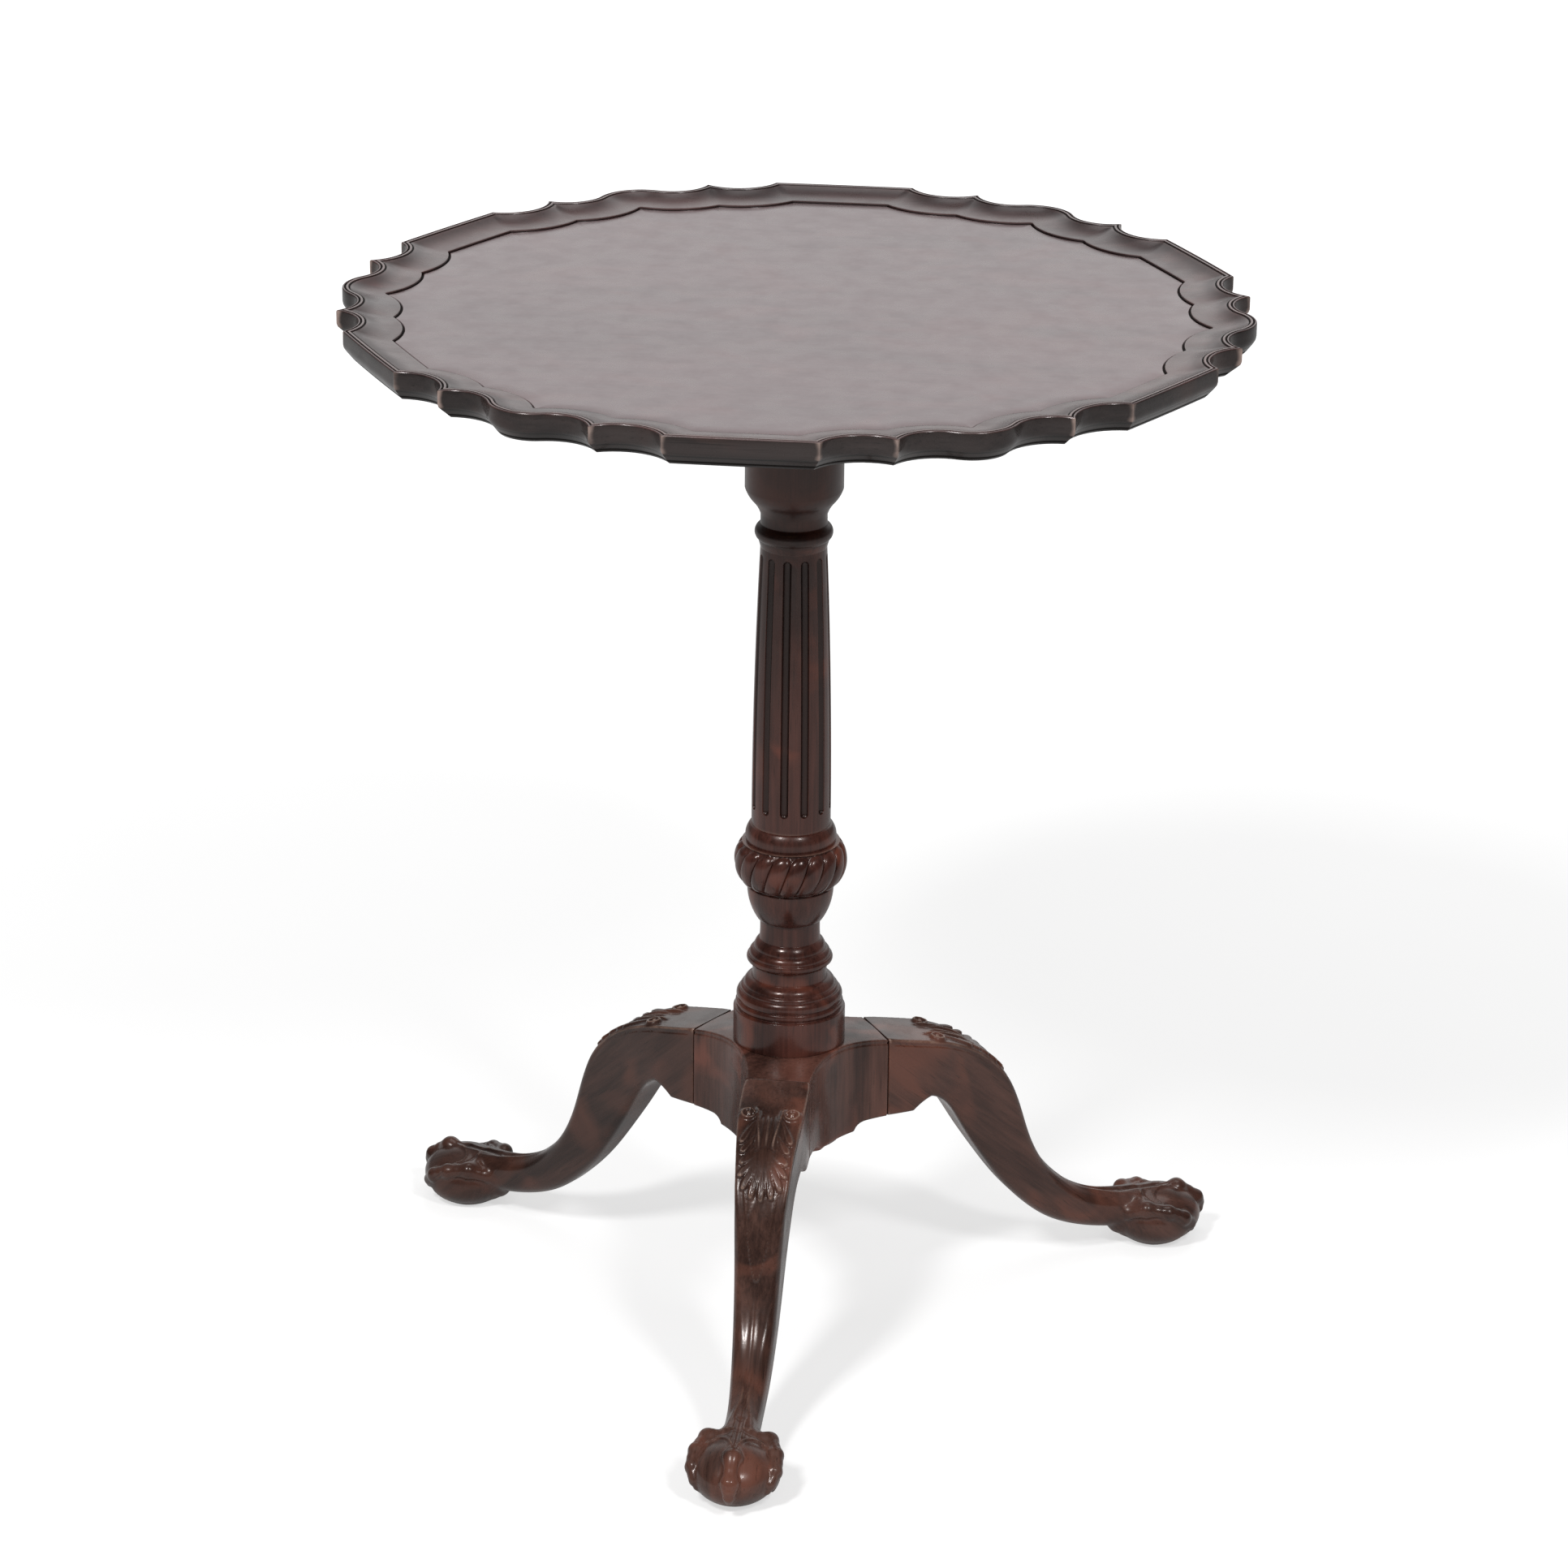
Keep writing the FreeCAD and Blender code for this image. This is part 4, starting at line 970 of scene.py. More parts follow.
    def build(self, trees: NodeTrees) -> None:
        """Makes the sector, repeats it round the axis and dresses the board.

        Args:
            trees: the trees for what repeats.
        """
        self.set_out()
        section = self.section()
        rings = [(self.outline(inset), z) for inset, z in section]
        first, last = rings[0], rings[-1]
        rings = [(first[0] * s, first[1]) for s in self.under_rings] + rings
        rings += [(last[0] * s, last[1]) for s in self.field_rings]
        columns = len(first[0])
        rows = [np.column_stack([plan, np.full(columns, z)]) for plan, z in rings]
        sector = make_sector("tray_sector", rows, self.crease)
        # Painted shade for the rim's lines and for the cove below the lip, one value for each ring of the
        # section.
        rim_shade = np.zeros(len(sector.data.vertices), np.float32)
        start = len(self.under_rings) * columns
        rim_shade[start:start + len(section) * columns] = np.repeat([self.shade(i) for i, _ in section], columns)
        sector.data.attributes.new("shade", "FLOAT", "POINT").data.foreach_set("value", rim_shade)
        board = NodeTrees.bake(sector, trees.ring, "tray_top", {
            "Copies": self.repeats, "First Turn": math.pi / self.repeats, "Weld": WELD,
            "Material": TOP_WOOD.material()})
        board.data.set_sharp_from_angle(angle=math.radians(self.crease))
        note_edges(board, 1)
        shade = vertex_values(board, "shade")
        # Painted shade is added to edge, so the finish darkens the lines and the cove as well as recesses.
        worn = vertex_values(board, "edge") + shade
        board.data.attributes["edge"].data.foreach_set("value", worn)
        board.data.attributes.remove(board.data.attributes["shade"])
        hand_over(board, TOP_WOOD, Body.TOP, "table_top")
        for finish in (COVE_SHADED_WOOD, RIM_SHADED_WOOD, UNDER_WOOD, LINE_SHADE_WOOD):
            board.data.materials.append(finish.material())
        self.sort_faces(board, shade)


@dataclass
class Pillar:
    """Turned pillar with a gadrooned knop, a fluted shaft and a plain capital."""
    hub_top: float = 199.0
    block_bottom: float = 661.2
    block_top: float = 691.2
    quirk: float = 1.0
    drum: Pair = (37.5, 23.5)
    foot: tuple[Triple, ...] = (
        (0.5, 35.3, 0), (0.5, 35.3, 0), (4.4, 35.5, 0.7), (0.25, 34.7, 0), (0.35, 34.7, 0), (7.0, 33.6, 1.3),
        (0.25, 32.8, 0), (2.85, 31.5, 0.5), (0.25, 30.8, 0), (5.4, 26.2, 1.1), (0.25, 25.3, 0),
        (8.2, 25.1, -0.35))
    ring: tuple[Triple, ...] = (
        (0.3, 25.1, 0), (2.9, 28.0, -0.5), (0.2, 28.3, 0), (3.8, 28.2, 0.55), (0.25, 27.3, 0),
        (4.6, 24.8, 0.7), (0.25, 24.1, 0), (6.2, 21.0, 0.7), (0.3, 20.4, 0))
    waist: Triple = (14.5, 20.2, -0.35)
    cup: Triple = (28.8, 21.7, 1.6)
    cup_foot: Pair = (0.3, 21.8)
    cup_fillet: float = 2.0
    cup_lid: Pair = (6.0, 1.5)
    knop: Triple = (32.6, 31.5, 6.3)
    knop_roots: tuple[Pair, Pair] = ((3.0, 0.8), (2.4, 0.6))
    knop_rows: int = 44
    gadroons: int = 18
    gadroon_columns: int = 19
    gadroon_depth: float = 2.3
    gadroon_lift: float = 0.5
    gadroon_power: float = 2.6
    gadroon_ends: Pair = (1.4, 1.2)
    gadroon_twist: float = 20.0
    collar: Triple = (30.0, 11.0, 1.3)
    collar_step: float = 1.2
    collar_root: Pair = (3.0, 1.0)
    collar_lid: Pair = (2.0, 0.4)
    shaft: Triple = (26.3, 21.9, 1.1)
    shaft_overlap: float = 0.6
    flutes: int = 12
    flute_radius: float = 2.85
    flute_lift: float = 0.4
    flute_first: float = -94.0
    flute_margins: Pair = (11.0, 4.0)
    flute_rows: tuple[int, int] = (40, 9)
    flute_columns: int = 17
    flute_lands: tuple[float, ...] = (0.06, 0.2, 0.45, 0.72, 1.0)
    flute_shade: Pair = (0.6, 0.3)
    flare: Pair = (1.4, 5.5)
    astragal: Pair = (9.5, 2.4)
    necking: float = 6.5
    bell: Pair = (18.0, 0.6)
    capital: Pair = (32.3, 73.7)
    capital_shadow: Pair = (2.0, 0.25)
    head_root: Pair = (2.5, 1.0)
    spigot: Pair = (17.0, 48.0)
    tenon: Pair = (15.0, 0.2)
    ease: float = 0.55
    bow_steps: int = 9
    collar_steps: int = 12
    turns: int = 144

    def lower_moves(self) -> list[Triple]:
        """Mouldings from the hub to the knop: height, radius at the top, belly."""
        return [
            (self.drum[1], self.drum[0], 0), *self.foot, *self.ring, self.waist, (*self.cup_foot, 0),
            (self.cup[1], self.cup[0], self.cup[2]), (self.cup_fillet, self.cup[0], 0)]

    def upper_moves(self) -> list[Triple]:
        """Lists the mouldings from the shaft to the block.

        Returns:
            Height, radius at the top and belly of each.
        """
        neck = self.shaft[1]
        flared = neck + self.flare[0]
        middle = (neck + self.capital[0]) / 2
        half = self.bell[0] / 2
        return [
            (self.flare[1], flared, 0), (self.astragal[0], flared, self.astragal[1]), (self.quirk, neck, 0),
            (self.necking, neck, 0), (half, middle, -self.bell[1]), (half, self.capital[0], self.bell[1]),
            (self.capital[1], self.capital[0], 0)]

    def stack(self, start: Pair, moves: Sequence[Triple]) -> list[Pair]:
        """Sets mouldings on each other.

        Args:
            start: radius and height where the first begins.
            moves: height, radius at the top and belly of each.

        Returns:
            The outline.
        """
        outline = [start]
        for height, radius, belly in moves:
            here = outline[-1]
            outline += bow(here, (radius, here[1] + height), belly, self.bow_steps)
        return outline

    def heights(self) -> tuple[float, float, float, float]:
        """Finds where the pillar's parts meet.

        Returns:
            Heights of the knop's foot, the collar's foot, the shaft's foot and its neck.
        """
        knop = self.hub_top + sum(m[0] for m in self.lower_moves())
        collar = knop + self.knop[1]
        shaft = collar + self.collar[1] + 2 * self.quirk
        neck = self.block_bottom - sum(m[0] for m in self.upper_moves())
        return knop, collar, shaft, neck

    def turned_shells(self) -> list[Piece]:
        """Makes the plain turned parts.

        Returns:
            Foot, collar and head.
        """
        knop, collar, shaft, neck = self.heights()
        low = self.hub_top - self.spigot[1]
        lid = knop + self.cup_lid[1]
        foot = [(0.0, low), (self.spigot[0], low), (self.spigot[0], self.hub_top)]
        foot += self.stack((self.drum[0], self.hub_top), self.lower_moves())
        foot += [(self.cup[0] - self.cup_lid[0], lid), (0.0, lid)]
        root, lid = collar - self.collar_root[1], shaft + self.collar_lid[1]
        start = (self.collar[0], collar + self.quirk)
        end = (self.shaft[0] + self.collar_step, collar + self.quirk + self.collar[1])
        band = [(0.0, root), (self.knop[0] - self.collar_root[0], root), start]
        band += bow(start, end, self.collar[2], self.collar_steps)
        band += [(self.shaft[0] - self.collar_lid[0], lid), (0.0, lid)]
        root, lid = neck - self.head_root[1], self.block_top - self.tenon[1]
        head = [(0.0, root), (self.shaft[1] - self.head_root[0], root)]
        head += self.stack((self.shaft[1], neck), self.upper_moves())
        head += [(self.tenon[0], self.block_bottom), (self.tenon[0], lid), (0.0, lid)]
        return [make_piece("pillar_" + name, *lathe(rounded(run, self.ease), self.turns))
                for name, run in (("foot", foot), ("collar", band), ("head", head))]

    def shaft_radius(self, z: Array) -> Array:
        """Finds the shaft's radius between its flutes, with its slow swell."""
        _, _, foot, neck = self.heights()
        share = (z - foot) / (neck - foot)
        return (self.shaft[0] + (self.shaft[1] - self.shaft[0]) * share
                + 4 * self.shaft[2] * share * (1 - share))

    @staticmethod
    def row(reach: Array | float, angles: Array, z: float) -> Array:
        """Points round the axis at one height."""
        return np.stack([reach * np.cos(angles), reach * np.sin(angles), np.full(len(angles), z)], 1)

    def fluted_sector(self) -> Piece:
        """Makes one twelfth of the shaft, with a round-ended flute in its middle.

        Returns:
            The sector.
        """
        _, _, foot, neck = self.heights()
        start = foot + self.flute_margins[0] + self.flute_radius
        end = neck - self.flute_margins[1] - self.flute_radius
        widest = math.sqrt(self.flute_radius ** 2 - self.flute_lift ** 2)
        straight, round_end = self.flute_rows
        cap = [widest * math.sin(a) for a in np.linspace(0, math.pi / 2 - 0.03, round_end)]
        heights = [foot - self.shaft_overlap, foot + 2.0, foot + 6.0, start - widest - 1.5,
                   start - widest - 0.25]
        heights += [start - d for d in reversed(cap)] + list(np.linspace(start, end, straight)[1:-1])
        heights += [end + d for d in cap] + [end + widest + 0.25, neck - 1.0, neck + self.shaft_overlap]
        inner = np.sin(np.linspace(-math.pi / 2, math.pi / 2, self.flute_columns))
        land = np.array(self.flute_lands)
        limit = math.pi / self.flutes
        rows = []
        for z in heights:
            radius = float(self.shaft_radius(np.array(z)))
            past = max(start - z, z - end, 0.0)
            half = math.sqrt(max(widest ** 2 - past ** 2, 0.12))
            across = half * inner
            depth = np.zeros_like(across)
            if past < widest:
                room = np.maximum(self.flute_radius ** 2 - past ** 2 - across ** 2, 0)
                depth = np.maximum(np.sqrt(room) - self.flute_lift, 0)
            side = half / radius + (limit - half / radius) * land
            angles = np.concatenate([-side[::-1], across / radius, side])
            flat = np.full(len(side), radius)
            rows.append(self.row(np.concatenate([flat, radius - depth, flat]), angles, z))
        return make_sector("shaft_sector", rows)

    def gadroon_sector(self) -> Piece:
        """Makes one eighteenth of the knop, with one twisted lobe that has a rounded foot.

        Returns:
            The sector.
        """
        knop, collar, _, _ = self.heights()
        start = (self.cup[0], knop)
        run = np.array([start] + bow(start, (self.knop[0], collar), self.knop[2], self.knop_rows))
        length = lengths(run)
        limit = math.pi / self.gadroons
        twist = math.radians(self.gadroon_twist)
        across = np.sin(np.linspace(-math.pi / 2, math.pi / 2, self.gadroon_columns))
        (low_root, low_drop), (high_root, high_rise) = self.knop_roots
        foot_end, head_end = self.gadroon_ends
        rows = [self.row(self.cup[0] - low_root, across * limit, knop - low_drop)]
        for (radius, z), along, part in zip(run, length, length / length[-1]):
            half = radius * limit
            low, high = along - foot_end, length[-1] - head_end - along
            ends = np.clip(np.minimum(low, high) / half, -0.2, 1.0)
            gone = np.hypot(across, 1 - ends) if ends < 1 else np.abs(across)
            swell = np.sqrt(np.clip(1 - gone ** self.gadroon_power, 0, 1))
            margin = min(1.0, max(0.0, min(along, length[-1] - along) / head_end))
            depth = self.gadroon_depth * (1 - swell) * margin
            turn = twist * (part - 0.5) + across * half / radius
            rows.append(self.row(radius + self.gadroon_lift * margin - depth, turn, z))
        turn = twist * 0.5 + across * limit
        rows.append(self.row(self.knop[0] - high_root, turn, collar + self.quirk * high_rise))
        return make_sector("knop_sector", rows)

    def build(self, trees: NodeTrees) -> None:
        """Makes the turned shells, the knop and the shaft, and joins them.

        Args:
            trees: the trees for what repeats.
        """
        polish = PILLAR_WOOD.material()
        shaft = NodeTrees.bake(self.fluted_sector(), trees.ring, "pillar_shaft", {
            "Copies": self.flutes, "First Turn": math.radians(self.flute_first), "Weld": WELD,
            "Material": polish})
        knop = NodeTrees.bake(self.gadroon_sector(), trees.ring, "pillar_knop", {
            "Copies": self.gadroons, "First Turn": 0.0, "Weld": WELD, "Material": polish})
        made = join_pieces("pillar", self.turned_shells() + [shaft, knop], 38.0)
        note_edges(made, 1)
        x, y, z = (np.array([point.co for point in made.data.vertices]) / MM).T
        _, _, foot, neck = self.heights()
        depth = self.shaft_radius(z) - np.hypot(x, y)
        # Painted shade: the flute hollows are marked as a recess so that the finish darkens them.
        darken_points(made, (z > foot) & (z < neck) & (depth > self.flute_shade[0]), self.flute_shade[1])
        # Painted shadow: the capital, under the top, is marked as a recess so that the finish darkens it.
        darken_points(made, z > neck + self.capital_shadow[0], self.capital_shadow[1])
        hand_over(made, PILLAR_WOOD, Body.BASE, "column")


CELL_CORNERS = tuple((i, j, k) for i in (0, 1) for j in (0, 1) for k in (0, 1))
SETTLING_TURNS = 3
LEAST_SLOPE = 0.05
LONGEST_PULL = 0.8


def soft_min(a: Array, b: Array, blend: float) -> Array:
    """Union of two fields with a rounded inner corner."""
    return np.minimum(a, b) - np.maximum(blend - np.abs(a - b), 0) ** 2 / (4 * blend)


def soft_max(a: Array, b: Array, blend: float) -> Array:
    """Overlap of two fields with a rounded arris."""
    return np.maximum(a, b) + np.maximum(blend - np.abs(a - b), 0) ** 2 / (4 * blend)


def smooth_step(run: Pair, value: Array) -> Array:
    """Smooth step from 0 at the run's start to 1 at its end."""
    t = np.clip((value - run[0]) / (run[1] - run[0]), 0, 1)
    return t * t * (3 - 2 * t)


def ridge(value: Array, width: float) -> Array:
    """Rounded ridge that is 1 high where the value is zero."""
    return np.exp(-(value / width) ** 2)


def line_distance(x: Array, z: Array, run: Array) -> tuple[Array, Array]:
    """Measures the distance to an open polyline and the length along it at the nearest place.

    Args:
        x, z: coordinates of every place.
        run: the line's points.

    Returns:
        Distance and run length, each shaped as x.
    """
    best = np.full(x.shape, 1e9, np.float32)
    where = np.zeros(x.shape, np.float32)
    gone = 0.0
    for a, b in zip(run, run[1:]):
        d = b - a
        span = float(d @ d)
        if span < 1e-12:
            continue
        t = np.clip(((x - a[0]) * d[0] + (z - a[1]) * d[1]) / span, 0, 1)
        far = np.hypot(x - a[0] - t * d[0], z - a[1] - t * d[1])
        nearer = far < best
        best = np.where(nearer, far, best)
        where = np.where(nearer, gone + t * math.sqrt(span), where)
        gone += math.sqrt(span)
    return best, where


def area_distance(x: Array, z: Array, outline: Array) -> Array:
    """Measures the signed distance to a closed outline.

    Args:
        x, z: coordinates of every place.
        outline: the outline's points, without its first one repeated.

    Returns:
        Distance, below zero inside.
    """
    closed = np.concatenate([outline, outline[:1]])
    far, _ = line_distance(x, z, closed)
    inside = np.zeros(x.shape, bool)
    for a, b in zip(closed, closed[1:]):
        if abs(b[1] - a[1]) < 1e-12:
            continue
        crosses = (z > min(a[1], b[1])) & (z <= max(a[1], b[1]))
        at = a[0] + (z - a[1]) * (b[0] - a[0]) / (b[1] - a[1])
        inside ^= crosses & (x < at)
    return np.where(inside, -far, far)


def bead_chain(place: Place, beads: Sequence[Bead], blend: float) -> Array:
    """Field of a limb through beads.

    Args:
        place: coordinates of every place.
        beads: x, y, z and radius of each bead.
        blend: how far neighbouring lengths of the limb flow together.

    Returns:
        The field.
    """
    x, y, z = place
    out = None
    for (ax, ay, az, ar), (bx, by, bz, br) in zip(beads, beads[1:]):
        dx, dy, dz = bx - ax, by - ay, bz - az
        span = dx * dx + dy * dy + dz * dz
        t = np.clip(((x - ax) * dx + (y - ay) * dy + (z - az) * dz) / span, 0, 1)
        far = np.sqrt((x - ax - t * dx) ** 2 + (y - ay - t * dy) ** 2 + (z - az - t * dz) ** 2)
        far = far - (ar + t * (br - ar))
        out = far if out is None else soft_min(out, far, blend)
    return out


def sample_field(grid: Array, spot: Array) -> Array:
    """Reads a field between its grid places.

    Args:
        grid: field values.
        spot: places in grid steps, one row each.

    Returns:
        The field at each place.
    """
    limit = np.array(grid.shape) - 2
    low = np.clip(np.floor(spot).astype(int), 0, limit)
    t = np.clip(spot - low, 0, 1)
    total = np.zeros(len(spot))
    for i, j, k in CELL_CORNERS:
        share = np.abs(1 - i - t[:, 0]) * np.abs(1 - j - t[:, 1]) * np.abs(1 - k - t[:, 2])
        total += share * grid[low[:, 0] + i, low[:, 1] + j, low[:, 2] + k]
    return total


def skin_field(grid: Array, origin: Sequence[float], step: float) -> Skin:
    """Closed quad skin on a field's zero level, one point in each cell that it crosses.

    Args:
        grid: field values, below zero inside.
        origin: place of the grid's first value.
        step: spacing of the grid.

    Returns:
        Points and quads.
    """
    inside = grid < 0
    wide, deep, tall = (n - 1 for n in grid.shape)
    count = np.zeros((wide, deep, tall), np.int8)
    for i, j, k in CELL_CORNERS:
        count += inside[i:i + wide, j:j + deep, k:k + tall]
    cells = np.argwhere((count > 0) & (count < len(CELL_CORNERS)))
    number = np.full(count.shape, -1, np.int64)
    number[tuple(cells.T)] = np.arange(len(cells))
    quads = []
    for axis in range(3):
        u, v = (axis + 1) % 3, (axis + 2) % 3
        low = [slice(None)] * 3
        high = [slice(None)] * 3
        low[axis], high[axis] = slice(None, -1), slice(1, None)
        a, b = inside[tuple(low)], inside[tuple(high)]
        edges = np.argwhere(a != b)
        edges = edges[(edges[:, u] > 0) & (edges[:, v] > 0)]
        edges = edges[(edges[:, u] < grid.shape[u] - 1) & (edges[:, v] < grid.shape[v] - 1)]
        corner = []
        for du, dv in ((-1, -1), (0, -1), (0, 0), (-1, 0)):
            cell = edges.copy()
            cell[:, u] += du
            cell[:, v] += dv
            corner.append(number[tuple(cell.T)])
        quad = np.stack(corner, 1)
        outward = a[tuple(edges.T)]
        quads.append(np.where(outward[:, None], quad, quad[:, ::-1]))
    faces = np.concatenate(quads)
    spots = settle_points(grid, cell_crossings(grid, cells), faces)
    return np.asarray(origin) + spots * step, faces


def cell_crossings(grid: Array, cells: Array) -> Array:
    """Averages the places where a field's zero level cuts the edges of each cell.

    Args:
        grid: field values.
        cells: index of each cell that the level crosses.

    Returns:
        One place in each cell, in grid steps.
    """
    total = np.zeros((len(cells), 3))
    hits = np.zeros(len(cells))
    for axis in range(3):
        for start in CELL_CORNERS:
            if start[axis]:
                continue
            end = np.array(start)
            end[axis] = 1
            a, b = grid[tuple((cells + start).T)], grid[tuple((cells + end).T)]
            cross = (a < 0) != (b < 0)
            spot = np.tile(np.array(start, float), (len(cells), 1))
            spot[:, axis] = np.where(cross, a / np.where(cross, a - b, 1), 0)
            total += spot * cross[:, None]
            hits += cross
    return cells + total / hits[:, None]


def settle_points(grid: Array, spots: Array, faces: Array) -> Array:
    """Evens out a skin's points and moves them onto the zero level.

    Args:
        grid: field values.
        spots: the points, in grid steps.
        faces: the skin's quads.

    Returns:
        The settled points, in grid steps.
    """
    a = np.concatenate([faces[:, k] for k in range(4)])
    b = np.concatenate([faces[:, (k + 1) % 4] for k in range(4)])
    near = np.bincount(a, minlength=len(spots)).astype(float)
    for turn in range(SETTLING_TURNS):
        mean = np.stack([np.bincount(a, spots[b, k], len(spots)) for k in range(3)], 1) / near[:, None]
        moved = 0.5 * spots + 0.5 * mean if turn < SETTLING_TURNS - 1 else spots
        value = sample_field(grid, moved)
        slope = np.zeros_like(moved)
        for k in range(3):
            shift = np.zeros(3)
            shift[k] = 0.5
            slope[:, k] = sample_field(grid, moved + shift) - sample_field(grid, moved - shift)
        size = np.maximum((slope ** 2).sum(1), LEAST_SLOPE)
        pull = np.clip(value / size, -LONGEST_PULL, LONGEST_PULL)
        spots = moved - slope * pull[:, None]
    return spots


@dataclass
class HubBlock:
    """Three-armed block between the pillar and the legs."""
    top: float = 199.0
    waist: float = 39.5
    waist_steps: int = 28
    slope: float = 0.18
    underside: float = 138.0
    step: float = 5.4
    pad: float = 3.6
    step_width: float = 6.0
    step_hollow: float = 1.3
    hollow_steps: int = 6
    joint: float = 64.0
    arm: float = 44.0
    spigot: Pair = (17.05, 48.3)
    dowel: Pair = (5.05, 36.0)
    dowel_heights: Pair = (157.0, 178.0)
    ease: float = 1.0
    quirk: Triple = (2.2, 0.9, 0.8)
    joint_dirt: float = 0.6
    profile_step: float = 0.4
    margin: float = 6.0
    voxel: float = 0.9

    def corner(self, turn: float, side: float) -> Array:
        """Corner of an arm's end in plan, by the arm's direction and a distance to its left."""
        c, s = math.cos(turn), math.sin(turn)
        return np.array([self.joint * c - side * s, self.joint * s + side * c])

    def plan(self) -> Array:
        """Draws the outline from above, with the arms at 30, 150 and 270 degrees.

        Returns:
            The outline's points.
        """
        half = self.arm / 2
        points: list[Array] = []
        for k in range(3):
            turn = math.radians(120.0 * k + 30.0)
            middle = turn + math.radians(60.0)
            start, end = self.corner(turn, half), self.corner(turn + math.radians(120.0), -half)
            belly = np.array([math.cos(middle), math.sin(middle)]) * self.waist
            centre, _ = TrayTop.circle(start, belly, end)
            points.append(self.corner(turn, -half))
            points += arc(centre, start, end, self.waist_steps)
        return np.array(points)

    def profile(self) -> Array:
        """Draws the section of the block's stepped form of revolution.

        Returns:
            The closed section, on both sides of the axis.
        """
        ledge = self.underside - self.step
        foot = ledge - self.pad
        rim = self.joint + self.arm / 2
        shelf = self.waist + self.step_width
        start = (self.waist - self.pad, foot)
        run = [(0.0, foot), start]
        run += bow(start, (self.waist, ledge), -self.step_hollow, self.hollow_steps)
        run.append((shelf, ledge))
        run += bow(run[-1], (shelf + self.step, self.underside), -self.step_hollow, self.hollow_steps)
        run += [(rim, self.underside), (rim, self.top - self.slope * (rim - self.waist)),
                (self.waist, self.top), (0.0, self.top)]
        mirrored = [(-r, z) for r, z in reversed(run[1:-1])]
        return np.array(run + mirrored)

    def build(self) -> None:
        """Carves the block with its bores and dresses it."""
        reach = self.joint + self.margin + self.arm / 2
        foot = self.underside - self.step - self.pad
        flat = np.arange(-reach, reach, self.voxel, dtype=np.float32)
        rise = np.arange(foot - 3 * self.voxel, self.top + 3 * self.voxel, self.voxel, dtype=np.float32)
        px, py = np.meshgrid(flat, flat, indexing="ij")
        tall = rise[None, None]
        plan = area_distance(px, py, self.plan())
        radii = np.arange(0, 1.5 * flat[-1], self.profile_step, dtype=np.float32)
        rr, rz = np.meshgrid(radii, rise, indexing="ij")
        form = area_distance(rr, rz, self.profile())
        index = np.hypot(px, py) / self.profile_step
        low = np.clip(index.astype(int), 0, len(radii) - 2)
        t = (index - low)[:, :, None]
        turned = form[low] * (1 - t) + form[low + 1] * t
        low_line, spread, sunk = self.quirk
        line = sunk * ridge(turned + low_line, spread) * (tall > (self.top + self.underside) / 2)
        grid = soft_max(plan[:, :, None] + line, turned, self.ease)
        bore = np.maximum(np.hypot(px, py)[:, :, None] - self.spigot[0], self.top - self.spigot[1] - tall)
        grid = np.maximum(grid, -bore)
        angles = [math.radians(place.value) for place in LegPlace]
        for angle in angles:
            c, s = math.cos(angle), math.sin(angle)
            out, side = (px * c + py * s)[:, :, None], (py * c - px * s)[:, :, None]
            for height in self.dowel_heights:
                hole = np.maximum(np.hypot(side, tall - height) - self.dowel[0],
                                  self.joint - self.dowel[1] / 2 - out)
                grid = np.maximum(grid, -hole)
        points, faces = skin_field(grid, (flat[0], flat[0], rise[0]), self.voxel)
        made = make_piece("hub", points, faces, 60.0)
        note_edges(made, 2)
        reaches = [points[:, 0] * math.cos(a) + points[:, 1] * math.sin(a) for a in angles]
        darken_points(made, np.max(reaches, axis=0) > self.joint - self.joint_dirt)
        hand_over(made, HUB_WOOD, Body.BASE, "hub_block")


